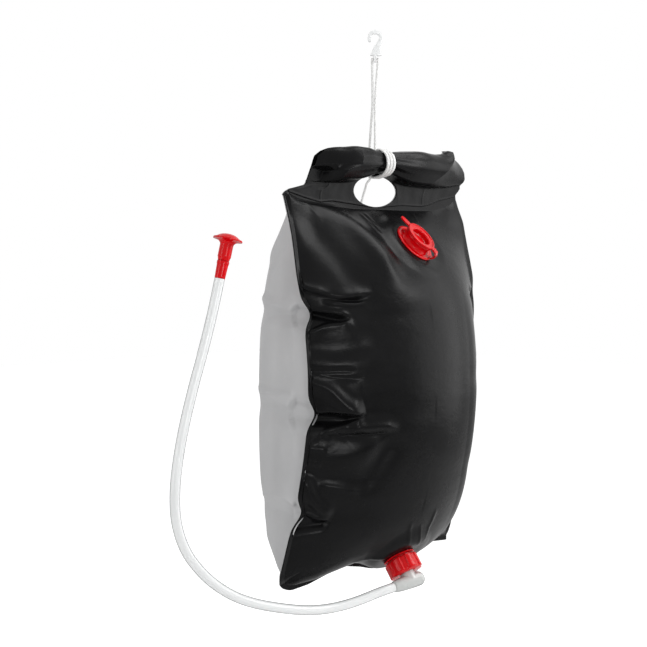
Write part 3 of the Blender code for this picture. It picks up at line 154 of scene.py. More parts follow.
tail_route = ((-0.0085, 0.0052, -0.1800), (-0.0115, 0.0056, -0.1880), (-0.0145, 0.0060, -0.1960),
              (-0.0172, 0.0066, -0.2035), (-0.0205, 0.0105, -0.2088))

HEAD_BODY_TALL, HEAD_BODY_TOP_D, HEAD_BODY_LOW_D = 0.0196, 0.0138, 0.0118
HEAD_BORE_D, HEAD_FLOOR = 0.0098, 0.0040
ROSE_STEM_D, ROSE_STEM_LONG, ROSE_STEM_BORE_D, ROSE_COLLAR_D = 0.0092, 0.0140, 0.0040, 0.0128
ROSE_TALL, ROSE_BARREL_D, ROSE_D, ROSE_RIM_TALL = 0.0254, 0.0150, 0.0330, 0.0022
ROSE_FLARE_SHARE, ROSE_WALL, ROSE_LEDGE_DEEP, ROSE_LEDGE_W = 0.62, 0.0020, 0.0013, 0.0040


# Camera
def build_camera():
    data = bpy.data.cameras.new("photo_camera")
    data.sensor_width = SENSOR_MM
    data.lens = SENSOR_MM * FOCAL_PIXELS / FRAME_PIXELS
    camera = bpy.data.objects.new("photo_camera", data)
    bpy.context.scene.collection.objects.link(camera)
    back = -CAMERA_FORWARD.normalized()
    right = Vector((0, 0, 1)).cross(back).normalized()
    place = Matrix((right, back.cross(right), back)).transposed().to_4x4()
    place.translation = CAMERA_PLACE
    camera.matrix_world = place
    bpy.context.scene.camera = camera


# Frames: local +Z along an axis, local +X near a given direction
def frame_at(point, axis, towards):
    z_dir = Vector(axis).normalized()
    x_dir = Vector(towards)
    x_dir = (x_dir - z_dir * x_dir.dot(z_dir)).normalized()
    place = Matrix((x_dir, z_dir.cross(x_dir), z_dir)).transposed().to_4x4()
    place.translation = Vector(point)
    return place


# Node materials
NOISE_LOW, NOISE_HIGH = 0.3, 0.7       # the part of a noise's range that is used
PAINTED_EDGE_SHADE_FROM, PAINTED_EDGE_SHADE_FULL = 0.42, 0.72      # where the painted edge shade of a milky wall begins and where it is deepest, from facing to edge-on


def add_node(tree, kind, **inputs):
    node = tree.nodes.new(kind)
    for key, value in inputs.items():
        node.inputs[key.replace("_", " ")].default_value = value
    return node


def set_stops(ramp_node, stops):
    ramp = ramp_node.color_ramp
    while len(ramp.elements) < len(stops):
        ramp.elements.new(0.5)
    for element, (at, colour) in zip(ramp.elements, stops):
        element.position = at
        element.color = (*colour, 1.0)


class Nodes:
    """A material's nodes, with short ways to add and join them."""

    def __init__(self, name):
        self.material = bpy.data.materials.new(name)
        self.material.use_nodes = True
        self.tree = self.material.node_tree
        self.shader = self.tree.nodes["Principled BSDF"]
        self.place = self.add("ShaderNodeTexCoord").outputs["Object"]
        self.normal = None

    def add(self, kind, **inputs):
        return add_node(self.tree, kind, **inputs)

    def join(self, output, target):
        self.tree.links.new(output, target)

    def set(self, **values):
        for key, value in values.items():
            self.shader.inputs[key.replace("_", " ")].default_value = value

    def noise(self, scale, detail=3.0, rough=0.5, stretch=None):
        node = self.add("ShaderNodeTexNoise", Scale=scale, Detail=detail, Roughness=rough)
        place = self.place
        if stretch:
            mapping = self.add("ShaderNodeMapping", Scale=stretch)
            self.join(place, mapping.inputs["Vector"])
            place = mapping.outputs["Vector"]
        self.join(place, node.inputs["Vector"])
        return node.outputs["Fac"]

    def between(self, share, low, high, start=NOISE_LOW, stop=NOISE_HIGH):
        node = self.add("ShaderNodeMapRange", From_Min=start, From_Max=stop, To_Min=low, To_Max=high)
        self.join(share, node.inputs["Value"])
        return node.outputs["Result"]

    def colours(self, share, *stops):
        node = self.add("ShaderNodeValToRGB")
        set_stops(node, stops)
        self.join(share, node.inputs["Fac"])
        self.join(node.outputs["Color"], self.shader.inputs["Base Color"])

    def clouded(self, cloud, dark, light):
        self.colours(cloud, (NOISE_LOW, dark), (NOISE_HIGH, light))

    def rough(self, cloud, low, high):
        self.join(self.between(cloud, low, high), self.shader.inputs["Roughness"])

    def bump(self, height, depth, strength):
        """One more layer of relief, its depth in metres, over those before it."""
        node = self.add("ShaderNodeBump", Distance=depth, Strength=strength)
        self.join(height, node.inputs["Height"])
        if self.normal:
            self.join(self.normal, node.inputs["Normal"])
        self.normal = node.outputs["Normal"]
        self.join(self.normal, self.shader.inputs["Normal"])


def film_material(name, dark, light, rough_low, rough_high, gloss):
    nodes = Nodes(name)
    cloud = nodes.noise(scale=14, detail=4.0, rough=0.6)
    nodes.clouded(cloud, dark, light)
    nodes.rough(cloud, rough_low, rough_high)
    nodes.bump(nodes.noise(scale=55, rough=0.55, stretch=(1.0, 1.0, 1.6)), depth=0.0011, strength=0.35)
    nodes.bump(nodes.noise(scale=1500, detail=2.0), depth=0.00006, strength=0.35)
    nodes.set(Specular_IOR_Level=gloss)
    return nodes.material


def red_material():
    nodes = Nodes("red_moulding")
    cloud = nodes.noise(scale=90)
    nodes.clouded(cloud, dark=(0.50, 0.000, 0.002), light=(0.58, 0.001, 0.004))
    nodes.rough(cloud, low=0.12, high=0.20)
    nodes.bump(nodes.noise(scale=2600, detail=2.0), depth=0.00003, strength=0.3)
    nodes.set(Specular_IOR_Level=0.16)
    return nodes.material


def milky_material(name, middle, edge, rough_low, rough_high):
    """Milky plastic with painted edge shade: its colour darkens where the wall is seen along its surface,
    standing in for the shade of a translucent wall.
    """
    nodes = Nodes(name)
    facing = nodes.add("ShaderNodeLayerWeight", Blend=0.5).outputs["Facing"]
    # painted shade: the colour goes from middle to edge as the wall turns edge-on to the view
    nodes.colours(facing, (0.0, middle), (PAINTED_EDGE_SHADE_FROM, middle), (PAINTED_EDGE_SHADE_FULL, edge), (1.0, middle))
    nodes.rough(nodes.noise(scale=120), rough_low, rough_high)
    nodes.bump(nodes.noise(scale=260, detail=2.0), depth=0.00004, strength=0.2)
    nodes.set(Subsurface_Weight=0.25, Subsurface_Radius=(0.004, 0.004, 0.004), Subsurface_Scale=0.6)
    return nodes.material


def cord_material():
    nodes = Nodes("braided_cord")
    fibre = nodes.noise(scale=3800, detail=2.0)
    nodes.clouded(nodes.noise(scale=500), dark=(0.62, 0.62, 0.61), light=(0.76, 0.76, 0.75))
    nodes.rough(fibre, low=0.68, high=0.84)
    nodes.bump(fibre, depth=0.00012, strength=0.5)
    nodes.set(Sheen_Weight=0.25, Sheen_Roughness=0.5)
    return nodes.material


def plain_material(name, dark, light, rough_low, rough_high):
    nodes = Nodes(name)
    cloud = nodes.noise(scale=60)
    nodes.clouded(cloud, dark, light)
    nodes.rough(cloud, rough_low, rough_high)
    nodes.bump(nodes.noise(scale=1800, detail=2.0), depth=0.00005, strength=0.3)
    return nodes.material


# Mesh makers
MERGE_GAP = 0.00002
CORNER_STEPS = 4
CORNER_REACH = 0.45        # share of a side that its corner's curve may take up
TURN_STEPS = 96
SHARP_EDGE = math.radians(50)
SIDE_HINT = (0.3, 0.5, 0.81)   # a direction that no cord or hose runs along


def new_piece(name, mesh, material, body, replaced=(), place=None):
    obj = bpy.data.objects.new(name, mesh)
    bpy.context.scene.collection.objects.link(obj)
    mesh.materials.append(material)
    if place is not None:
        obj.matrix_world = place
    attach(obj, body)
    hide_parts(*replaced)
    return obj


def mesh_from(name, verts, faces):
    """A smooth mesh of the vertices that the faces use."""
    faces = np.asarray(faces)
    used, inverse = np.unique(faces, return_inverse=True)
    mesh = bpy.data.meshes.new(name)
    mesh.from_pydata(np.asarray(verts)[used].tolist(), [], inverse.reshape(faces.shape).tolist())
    mesh.shade_smooth()
    return mesh


def quads_of(rows, across, wrap_rows=False, wrap_across=False):
    index = np.arange(rows * across).reshape(rows, across)
    if wrap_rows:
        index = np.vstack([index, index[:1]])
    if wrap_across:
        index = np.hstack([index, index[:, :1]])
    corners = [index[:-1, :-1], index[:-1, 1:], index[1:, 1:], index[1:, :-1]]
    return np.stack(corners, -1).reshape(-1, 4)


def merged(mesh):
    """The mesh with touching vertices joined, slivers taken out and its normals outwards."""
    bm = bmesh.new()
    bm.from_mesh(mesh)
    bmesh.ops.remove_doubles(bm, verts=bm.verts, dist=MERGE_GAP)
    bmesh.ops.dissolve_degenerate(bm, edges=bm.edges, dist=MERGE_GAP / 2)
    bmesh.ops.recalc_face_normals(bm, faces=bm.faces)
    bm.to_mesh(mesh)
    bm.free()
    mesh.shade_smooth()
    return mesh


def rounded(profile, radius, closed=True):
    """The outline with each corner cut by a small curve."""
    points = [Vector(p) for p in profile]
    count = len(points)
    out = []
    for k, corner in enumerate(points):
        if not closed and k in (0, count - 1):
            out.append(tuple(corner))
            continue
        sides = (points[k - 1] - corner, points[(k + 1) % count] - corner)
        start, stop = [corner + way.normalized() * min(radius, way.length * CORNER_REACH) for way in sides]
        for j in range(CORNER_STEPS + 1):
            s = j / CORNER_STEPS
            out.append(tuple(start * (1 - s) ** 2 + corner * 2 * s * (1 - s) + stop * s ** 2))
    return out


def stepped(radius, height, steps):
    """Profile points at small steps, out and up, from the place given."""
    return [(radius + out, height + up) for out, up in steps]


def turned(name, profile, steps=TURN_STEPS):
    """A closed (radius, height) profile turned about local Z."""
    p = np.array(profile)
    a = np.linspace(0, math.tau, steps, endpoint=False)
    verts = np.stack([p[:, None, 0] * np.cos(a), p[:, None, 0] * np.sin(a),
                      np.repeat(p[:, None, 1], steps, 1)], -1)
    open_ends = p[:, 0].min() <= 0
    faces = quads_of(len(p), steps, wrap_rows=not open_ends, wrap_across=True)
    return merged(mesh_from(name, verts.reshape(-1, 3), faces))


def runs_of(points):
    """Length along the points up to each of them."""
    return np.append(0.0, np.cumsum(np.linalg.norm(np.diff(points, axis=0), axis=1)))


def smooth_route(points, step):
    """Points at an even step on a Catmull-Rom curve through the route's own points."""
    way = np.array([list(p) for p in points], float)
    ends = np.vstack([2 * way[0] - way[1], way, 2 * way[-1] - way[-2]])
    share = np.arange(CURVE_STEPS)[:, None] / CURVE_STEPS
    fine = []
    for a, b, c, d in zip(ends, ends[1:], ends[2:], ends[3:]):
        bend, twist = 2 * a - 5 * b + 4 * c - d, 3 * b - 3 * c + d - a
        fine.append((2 * b + (c - a) * share + bend * share ** 2 + twist * share ** 3) / 2)
    fine = np.vstack(fine + [way[-1:]])
    runs = runs_of(fine)
    marks = np.linspace(0.0, runs[-1], max(2, round(runs[-1] / step)) + 1)
    return np.stack([np.interp(marks, runs, fine[:, k]) for k in range(fine.shape[1])], -1)


def flat_route(points, step):
    """A smooth route in a plane, as a list of pairs."""
    return [tuple(p[:2]) for p in smooth_route([(a, b, 0.0) for a, b in points], step)]


def swept(name, points, radius_at, sides, hint=SIDE_HINT, flat=1.0):
    """A tube along the points. radius_at gives its radius for a run's length and the angles round it.
    A tube that isn't round is flat times as wide towards the hint."""
    points = np.asarray(points)
    ways = np.gradient(points, axis=0)
    ways /= np.linalg.norm(ways, axis=1)[:, None]
    side = np.array(hint, float)
    angles = np.linspace(0, math.tau, sides, endpoint=False)
    rings = []
    for point, way, run in zip(points, ways, runs_of(points)):
        if flat != 1.0:
            side = np.array(hint, float)
        side = side - way * (side @ way)
        side /= np.linalg.norm(side)
        up = np.cross(way, side)
        r = radius_at(run, angles)[:, None]
        rings.append(point + r * (np.cos(angles)[:, None] * side * flat + np.sin(angles)[:, None] * up))
    verts = np.vstack(rings + [points[:1], points[-1:]])
    start_point = len(points) * sides
    ring = np.arange(sides)
    onward = np.roll(ring, -1)
    end_ring = start_point - sides
    faces = quads_of(len(points), sides, wrap_across=True).tolist()
    faces += np.stack([np.full(sides, start_point), onward, ring], -1).tolist()
    faces += np.stack([np.full(sides, start_point + 1), ring + end_ring, onward + end_ring], -1).tolist()
    mesh = bpy.data.meshes.new(name)
    mesh.from_pydata(verts.tolist(), [], faces)
    return merged(mesh)


# Cord: a braid of eight strands, four each way
BRAID_STRANDS = 4
BRAID_STEP = 0.0052
BRAID_RELIEF_SHARE = 0.13
CORD_STEP = 0.00045
CORD_SIDES = 20
EYE_LOOP_STEPS = 8
WRAP_SPLAY = 0.62          # how far the turns spread on the front of the sleeve
WRAP_SHIFT = 0.0016        # and how far they lean to the left there
WRAP_SPLAY_DEEP = 0.030    # depth over which they spread
WRAP_FLAT = 1.65           # the cord is pulled flat there
SECTION_SLACK = 0.00005
KNOT_ROWS, KNOT_SIDES = 40, 64
KNOT_STRANDS = 1.5         # half the number of bulges round a knot
KNOT_SLANT = 2.2           # half turns that they take up its height
KNOT_GROOVE_SHARE = 0.20
KNOT_END_POWER, KNOT_CREST_POWER = 0.7, 0.6


def braid_radius(run, angles):
    turn = math.tau * run / BRAID_STEP
    one = np.cos(BRAID_STRANDS * angles + turn)
    other = np.cos(BRAID_STRANDS * angles - turn)
    crown = np.maximum(one, other)
    return CORD_D / 2 * (1 - BRAID_RELIEF_SHARE * (1 - crown) / 2)


def sleeve_section(x):
    """The CAD's sleeve in (y, z) at x, inner face: skirt, over the tube and down the rear skirt."""
    pull = math.exp(-(x / SLEEVE_PINCH_W) ** 2)
    end = math.exp(-((SLEEVE_HALF_W - abs(x)) / SLEEVE_END_W) ** 2)
    top = SLEEVE_TOP_Z - SLEEVE_PINCH_TOP * pull
    low = BAND_TOP_Z + SLEEVE_PINCH_LOW * pull
    deep = SLEEVE_DEEP - SLEEVE_PINCH_DEEP * pull - SLEEVE_END_FLAT * end
    centre_y, centre_z = SKIRT_OUT + FILM - deep / 2, (top + low) / 2
    hem = SLEEVE_SKIRT_Z - SLEEVE_SKIRT_DIP * pull
    points = [(-SKIRT_OUT, hem), (-SKIRT_OUT, (hem + low) / 2), (-SKIRT_OUT, low)]
    first, last = SLEEVE_ARC
    for k in range(SLEEVE_ARC_POINTS + 1):
        a = first + (last - first) * k / SLEEVE_ARC_POINTS
        points.append((centre_y + deep / 2 * math.cos(a), centre_z + (top - low) / 2 * math.sin(a)))
    return points + [(SKIRT_OUT, low), (SKIRT_OUT, (hem + low) / 2), (SKIRT_OUT, hem)]


def taut_loop(clearance):
    """The way of a taut cord round the sleeve's waist, in (y, z), at even angles and starting at the rear."""
    edge = WRAP_TURNS / 2 * WRAP_PITCH + CORD_D
    low = BAND_TOP_Z + SLEEVE_PINCH_LOW * math.exp(-(edge / SLEEVE_PINCH_W) ** 2)
    section = [(y, z) for y, z in sleeve_section(edge) + sleeve_section(0.0) if z >= low - SECTION_SLACK]
    hole_top = HAND_HOLE_Z + HAND_HOLE_TALL / 2
    points = np.array(section + [(-SKIRT_OUT, hole_top), (SKIRT_OUT, hole_top)])
    rim = []
    for k in range(RIM_STEPS):
        a = math.tau * k / RIM_STEPS
        normal = np.array((math.cos(a), math.sin(a)))
        rim.append(points[(points @ normal).argmax()] + normal * clearance)
    rim = np.array(rim)
    centre = (rim.max(0) + rim.min(0)) / 2
    angles = np.unwrap(np.arctan2(rim[:, 1] - centre[1], rim[:, 0] - centre[0]))
    order = np.argsort(angles)
    angles, rim = angles[order], rim[order]
    wanted = -math.tau * np.arange(WRAP_LOOP_POINTS) / WRAP_LOOP_POINTS
    wanted = (wanted - angles[0]) % math.tau + angles[0]
    whole = np.append(angles, angles[0] + math.tau)
    return [tuple(np.interp(w, whole, np.append(rim[:, k], rim[0, k])) for k in (0, 1)) for w in wanted]


def wrap_points():
    loop = taut_loop(FILM + CORD_SEAT_GAP + CORD_D / 2)
    points = []
    for k in range(WRAP_TURNS * WRAP_LOOP_POINTS + WRAP_EXTRA_POINTS + 1):
        y, z = loop[k % WRAP_LOOP_POINTS]
        points.append(Vector((WRAP_PITCH * (WRAP_TURNS / 2 - k / WRAP_LOOP_POINTS), y, z)))
    return points


def hang_points():
    """From the knot behind the sleeve up one strand, through the hook's eye and down to the winding."""
    half_gap = HOOK_WEB_THICK / 2 + FIT_GAP + CORD_D / 2
    bend = EYE + Vector((0, 0, FIT_GAP / 2 - half_gap))
    loop = []
    for k in range(EYE_LOOP_STEPS + 1):
        a = math.pi * k / EYE_LOOP_STEPS
        loop.append(bend - HOOK_ALONG * half_gap * math.cos(a) + Vector((0, 0, half_gap * math.sin(a))))
    knot_top = KNOT_PLACE + Vector((0, 0, KNOT_TALL / 2 + FIT_GAP))
    wrap_top = WRAP_POINTS[0] + Vector((0, 0, FIT_GAP))
    meet = EYE + Vector((0, wrap_top.y * CORD_MEET_DROP / (EYE.z - wrap_top.z), -CORD_MEET_DROP))
    side = HOOK_ALONG * (CORD_D + CORD_SEAT_GAP) / 2
    left = [knot_top, (knot_top + meet - side) / 2, meet - side]
    right = [meet + side, (wrap_top + meet + side) / 2, wrap_top]
    return left + loop + right


def knot_mesh(name, radius, tall):
    """A stopper knot: two strands that cross over a rounded barrel."""
    a = np.linspace(0, math.pi, KNOT_ROWS)[:, None]
    b = np.linspace(0, math.tau, KNOT_SIDES, endpoint=False)[None, :]
    height = np.repeat(tall / 2 * np.cos(a), KNOT_SIDES, 1)
    crest = np.abs(np.sin(KNOT_STRANDS * b + KNOT_SLANT * math.pi * height / tall))
    bulge = 1 - KNOT_GROOVE_SHARE * (1 - crest ** KNOT_CREST_POWER)
    r = radius * np.sin(a) ** KNOT_END_POWER * bulge
    verts = np.stack([r * np.cos(b), r * np.sin(b), height], -1).reshape(-1, 3)
    return merged(mesh_from(name, verts, quads_of(KNOT_ROWS, KNOT_SIDES, wrap_across=True)))


def cord_piece(name, points, replaced, **shape):
    mesh = swept(name, points, braid_radius, CORD_SIDES, **shape)
    return new_piece(name, mesh, WHITE_CORD, "bag", replaced)


def build_cords():
    hang = smooth_route(hang_points(), CORD_STEP)
    strand = cord_piece("hanging_cord", hang, ["hang_cord"])
    turns = smooth_route(WRAP_POINTS, CORD_STEP)
    forward = np.clip(-turns[:, 1] / WRAP_SPLAY_DEEP, 0, 1)
    turns[:, 0] = turns[:, 0] * (1 + WRAP_SPLAY * forward) - WRAP_SHIFT * forward
    cord_piece("cord_winding", turns, ["cord_wrap"], hint=(1, 0, 0), flat=WRAP_FLAT)
    last, way = WRAP_POINTS[-1], (WRAP_POINTS[-1] - WRAP_POINTS[-2]).normalized()
    start = last + way * FIT_GAP
    end = TAIL_KNOT_PLACE - TAIL_DIRECTION * (TAIL_KNOT_TALL / 2 + FIT_GAP)
    tail = smooth_route([start, start + way * CORD_D] + list(tail_route) + [end], CORD_STEP)
    strand = cord_piece("cord_end", tail, ["cord_tail"])
    new_piece("knot_behind", knot_mesh("knot_behind", KNOT_R, KNOT_TALL), WHITE_CORD, "bag", ["cord_knot"],
              frame_at(KNOT_PLACE, (0, 0, 1), (1, 0, 0)))
    stopper = new_piece("knot_at_end", knot_mesh("knot_at_end", TAIL_KNOT_R, TAIL_KNOT_TALL), WHITE_CORD,
                        "bag", ["tail_knot"], frame_at(TAIL_KNOT_PLACE, TAIL_DIRECTION, (1, 0, 0)))


# Hose
HOSE_SIDES = 40
HOSE_LINE_STEP = 0.0035


def hose_points():
    straight = SPIGOT_LONG * HOSE_STRAIGHT_SHARE
    start = BARREL_FRAME @ Vector((0, 0, ELBOW_HOSE_SIDE + FIT_GAP))
    along = BARREL_FRAME.to_3x3() @ Vector((0, 0, 1))
    way = [Vector(p) for p in hose_route]
    end, axis = way[-1], (way[-1] - way[-2]).normalized()
    return ([start, start + along * straight / 2, start + along * straight] + way[:-1]
            + [end - axis * straight, end - axis * straight / 2, end])


def near(edge, point):
    return (edge.verts[0].co - point).length < HOSE_D


def tube_with_bore(name, points, outer, inner):
    points = np.asarray(points)
    bm = bmesh.new()
    for radius in (outer, inner):
        bm.from_mesh(swept(name, points, lambda run, angles: np.full(len(angles), radius), HOSE_SIDES))
    ends = [Vector(points[0]), Vector(points[-1])]
    caps = [v for v in bm.verts if min((v.co - end).length for end in ends) < inner / 2]
    bmesh.ops.delete(bm, geom=caps, context="VERTS")
    rims = [e for e in bm.edges if e.is_boundary]
    for end in ends:
        bmesh.ops.bridge_loops(bm, edges=[e for e in rims if near(e, end)])
    bmesh.ops.recalc_face_normals(bm, faces=bm.faces)
    mesh = bpy.data.meshes.new(name)
    bm.to_mesh(mesh)
    bm.free()
    mesh.shade_smooth()
    mesh.set_sharp_from_angle(angle=SHARP_EDGE)
    return mesh


def build_hose(head_pieces):
    line = smooth_route(hose_points(), HOSE_LINE_STEP)
    tube = tube_with_bore("milky_hose", line, HOSE_D / 2, HOSE_BORE_D / 2)
    hose = new_piece("milky_hose", tube, MILKY_HOSE, "hose_arm", ["hose"])


# The film sheets, on arrays of shares across (u) and down (t) the bag
SHOULDER_SHARE = 0.30      # the sides narrow down to this share of the height
WIDEN_SHARE = 0.42         # and widen from this one to the foot
WIDEN_POWER = 1.5
SEAM_POWER = 0.9
# Share of the height over which a sheet fills, from the top and from the foot, with the power of its curve
front_fill = ((0.2756, 1.105), (0.206, 0.30))
rear_fill = ((0.4973, 0.40), (0.4981, 0.303))
RIGHT_PINCH_LOOK = 0.25    # the right side's pinches barely show
TOP_DRAWN = 0.0065         # the filled bag draws its upper corners in
TOP_DRAWN_POWER = 8
LEFT_DRAWN_SPAN, RIGHT_DRAWN_SPAN = (0.05, 0.20), (0.0, 0.05)
CORNER_IN = 0.0085         # the lower right corner is drawn in
CORNER_SPAN, CORNER_POWER = (0.80, 1.0), 3
SIDE_SPAN = (0.18, 0.40)   # share of the height over which the right side's own form begins
SIDE_FOOT_SHARE = 0.16     # and over which it ends above the foot
SIDE_ROUND = 0.0020        # the front sheet bulges past its right seam
SIDE_ROUND_START = 0.50
SIDE_BACK = 0.0095         # which lies further back there
SIDE_BACK_START = 0.55
SIDE_BACK_IN_SHARE = 0.5
FOOT_SHARE = 0.2           # height over which the bottom edge's waves fade
LEAST_SWELL = 0.000001


def smoothstep(share):
    share = np.clip(share, 0, 1)
    return share * share * (3 - 2 * share)


def rising(value, start, stop):
    """From 0 at the start to 1 at the stop, and level outside them."""
    return smoothstep((value - start) / (stop - start))


def ease(share, power):
    share = np.clip(share, 0.0, 1.0)
    return (1 - (1 - share) ** 2) ** power


def half_width(u, t):
    low = np.where(u < 0, LOW_HALF_W, RIGHT_LOW_HALF_W)
    narrow = np.maximum(0.0, 1 - t / SHOULDER_SHARE) ** 2
    widen = np.maximum(0.0, (t - WIDEN_SHARE) / (1 - WIDEN_SHARE)) ** WIDEN_POWER
    return MID_HALF_W + (TOP_HALF_W - MID_HALF_W) * narrow + (low - MID_HALF_W) * widen


def seam_y(t):
    return -SEAM_FORWARD * np.sin(math.pi * np.clip(t, 0, 1)) ** SEAM_POWER


def swell(side, t):
    depth, fill = (FRONT_SWELL, front_fill) if side < 0 else (REAR_SWELL, rear_fill)
    (top, top_power), (foot, foot_power) = fill
    return depth * ease(t / top, top_power) * ease((1 - t) / foot, foot_power)


def pinch(u, t):
    near_seam = np.exp(-(1 - np.minimum(np.abs(u), 1.0)) * MID_HALF_W / PINCH_REACH)
    left, right = [sum(np.exp(-((t - s) * BAG_TALL / PINCH_TALL) ** 2) for s in shares)
                   for shares in (left_pinch_shares, right_pinch_shares)]
    return PINCH_DEPTH * near_seam * np.where(u < 0, left, RIGHT_PINCH_LOOK * right)


# Outline of the band's ears: height against half width, left and right
left_ear = ((-0.1818, 0.1235), (-0.1856, 0.1263), (-0.1909, 0.1500), (-0.1939, 0.1540), (-0.1983, 0.1550),
            (-0.2124, 0.1535))
right_ear = ((-0.1818, 0.1670), (-0.1860, 0.1630), (-0.1910, 0.1570), (-0.1965, 0.1530), (-0.2124, 0.1535))
EAR_RISE = 0.0134          # how far the bag's top line rises towards its corners
EAR_RISE_POWER = 6
EAR_RISE_SHARE = 0.12      # height over which that rise fades below the top line
EAR_WELD_SHARE = 0.6       # share of the band over which the side weld ends
BAND_SHARE = (BAND_TOP_Z - BAG_TOP_Z) / BAG_TALL


def ear_half_width(u, z):
    left, right = [np.interp(-z, [-h for h, w in ear], [w for h, w in ear]) for ear in (left_ear, right_ear)]
    return np.where(u < 0, left, right)


def level_section(side, arc, t, w):
    """The sheet's x and y at a level: part of a circle through both seams, dented at the pinches."""
    f = np.maximum(swell(side, np.clip(t, 0.0, 1.0)), LEAST_SWELL)
    radius = (w * w + f * f) / (2 * f)
    turn = 2 * np.arctan2(f, w)
    x = radius * np.sin(arc * turn)
    y = radius * np.cos(arc * turn) - (radius - f)
    keep = 1 - pinch(arc, t) * (t > 0) / np.maximum(np.hypot(x, y), TINY)
    return x * keep, y * keep


def level_z(arc, t, band):
    """Heights of the bag with its wavy bottom edge, and of the band with its rise towards the ears."""
    rise = EAR_RISE * np.abs(arc) ** EAR_RISE_POWER
    drop = np.interp(arc, *zip(*bottom_edge_shares)) * BAG_TALL
    foot = drop * np.maximum(0.0, 1 - (1 - t) / FOOT_SHARE) ** 2
    top = rise * np.maximum(0, 1 - t / EAR_RISE_SHARE) ** 2
    return np.where(t < 0, (BAG_TOP_Z + rise) * (1 - band) + BAND_TOP_Z * band,
                    BAG_TOP_Z - BAG_TALL * np.maximum(t, 0) - foot + top)


def film_grid(side, u, t):
    """Inner face of a sheet before fittings flatten it. t below zero is the welded band."""
    w = half_width(u, np.maximum(t, 0.0))
    arc = np.clip(u, -1, 1)
    x, y = level_section(side, arc, t, w)
    x = x + (u - arc) * w
    band = np.clip(-t / BAND_SHARE, 0, 1)
    z = level_z(arc, t, band)
    ear = ear_half_width(u, z) / (1 + WELD_W / MID_HALF_W * smoothstep(band / EAR_WELD_SHARE))
    x = np.where(t < 0, u * ear, x)
    drawn = 1 - np.where(u < 0, rising(t, *LEFT_DRAWN_SPAN), rising(t, *RIGHT_DRAWN_SPAN))
    x = x - np.sign(arc) * TOP_DRAWN * drawn * np.abs(arc) ** TOP_DRAWN_POWER
    x = x - CORNER_IN * rising(t, *CORNER_SPAN) * np.maximum(arc, 0.0) ** CORNER_POWER
    along = rising(t, *SIDE_SPAN) * smoothstep((1 - t) / SIDE_FOOT_SHARE)
    round_share = np.clip((arc - SIDE_ROUND_START) / (1 - SIDE_ROUND_START), 0, 1)
    bulge = np.sin(math.pi * round_share) * along * (side < 0)
    back = rising(arc, SIDE_BACK_START, 1.0) * along
    x = x + SIDE_ROUND * bulge - SIDE_BACK * SIDE_BACK_IN_SHARE * back
    y = np.where((t < 0) | (t > 1), 0.0, seam_y(t) + side * y - SIDE_ROUND * bulge + SIDE_BACK * back)
    return np.stack([x, y + side * FIT_GAP / 2, z], -1)


# Creases: lines on the sheets with a height that falls off to both sides
FRONT_ARC_W, REAR_ARC_W = 0.164, 0.250     # half of each sheet's width along its arc
CREASE_STEP = 0.004
CREASE_REACH = 4           # half widths within which a crease is worked out
SEAM_START = 0.97          # a crease that ends past this share across runs into the seam
START_TAPER, END_TAPER = 0.25, 0.30
FOLD_STEEP = 0.35          # width of a fold's steep side against its other side
FOLD_TIP, FOLD_ROUND = 0.141, 0.02     # rounding of a fold's ridge, with about its square root before it
SHARP_TIP, SHARP_FALL = 0.1, 1.4       # rounding of a sharp ridge, and how fast it falls off


def crease_profile(kind, d):
    """Height across a crease, 1 on its line, at the half widths d from it."""
    if kind == "round":
        return np.exp(-d * d)
    if kind == "sharp":
        return np.exp(SHARP_FALL * (SHARP_TIP - np.sqrt(d * d + SHARP_TIP ** 2)))
    return np.where(d > 0, np.exp(-(d / FOLD_STEEP) ** 2), np.exp(FOLD_TIP - np.sqrt(d * d + FOLD_ROUND)))


def nearest_on(way, p):
    """For points p, the signed distance to the way and the share of its length where it is nearest."""
    best = np.full(len(p), np.inf)
    signed = np.zeros(len(p))
    along = np.zeros(len(p))
    runs = runs_of(way)
    for a, b, run in zip(way, way[1:], runs):
        step = b - a
        size = np.linalg.norm(step)
        share = np.clip((p - a) @ step / size ** 2, 0, 1)
        off = p - a - share[:, None] * step
        gap = np.linalg.norm(off, axis=1)
        closer = gap < best
        best = np.where(closer, gap, best)
        signed = np.where(closer, np.sign(step[0] * off[:, 1] - step[1] * off[:, 0]) * gap, signed)
        along = np.where(closer, (run + share * size) / runs[-1], along)
    return signed, along


def crease_height(u, t, creases, arc_w):
    """Sum of the creases. Each is its kind, height and half width in millimetres, and its path in shares."""
    flat = np.stack([u * arc_w, t * BAG_TALL], -1)
    total = np.zeros(u.shape)
    for kind, tall, wide, path in creases:
        way = np.array(flat_route([(a * arc_w, b * BAG_TALL) for a, b in path], CREASE_STEP))
        reach = wide * MM * CREASE_REACH
        inside = np.all((flat > way.min(0) - reach) & (flat < way.max(0) + reach), -1)
        if not inside.any():
            continue
        signed, along = nearest_on(way, flat[inside])
        height = tall * MM * crease_profile(kind, signed / (wide * MM))
        if abs(path[0][0]) <= SEAM_START:
            height *= smoothstep(along / START_TAPER)
        if abs(path[-1][0]) <= SEAM_START:
            height *= smoothstep((1 - along) / END_TAPER)
        total[inside] += height
    return total


def mirrored(creases):
    """The creases and their mirror images on the other side."""
    return creases + tuple((*sizes, tuple((-a, b) for a, b in path)) for *sizes, path in creases)


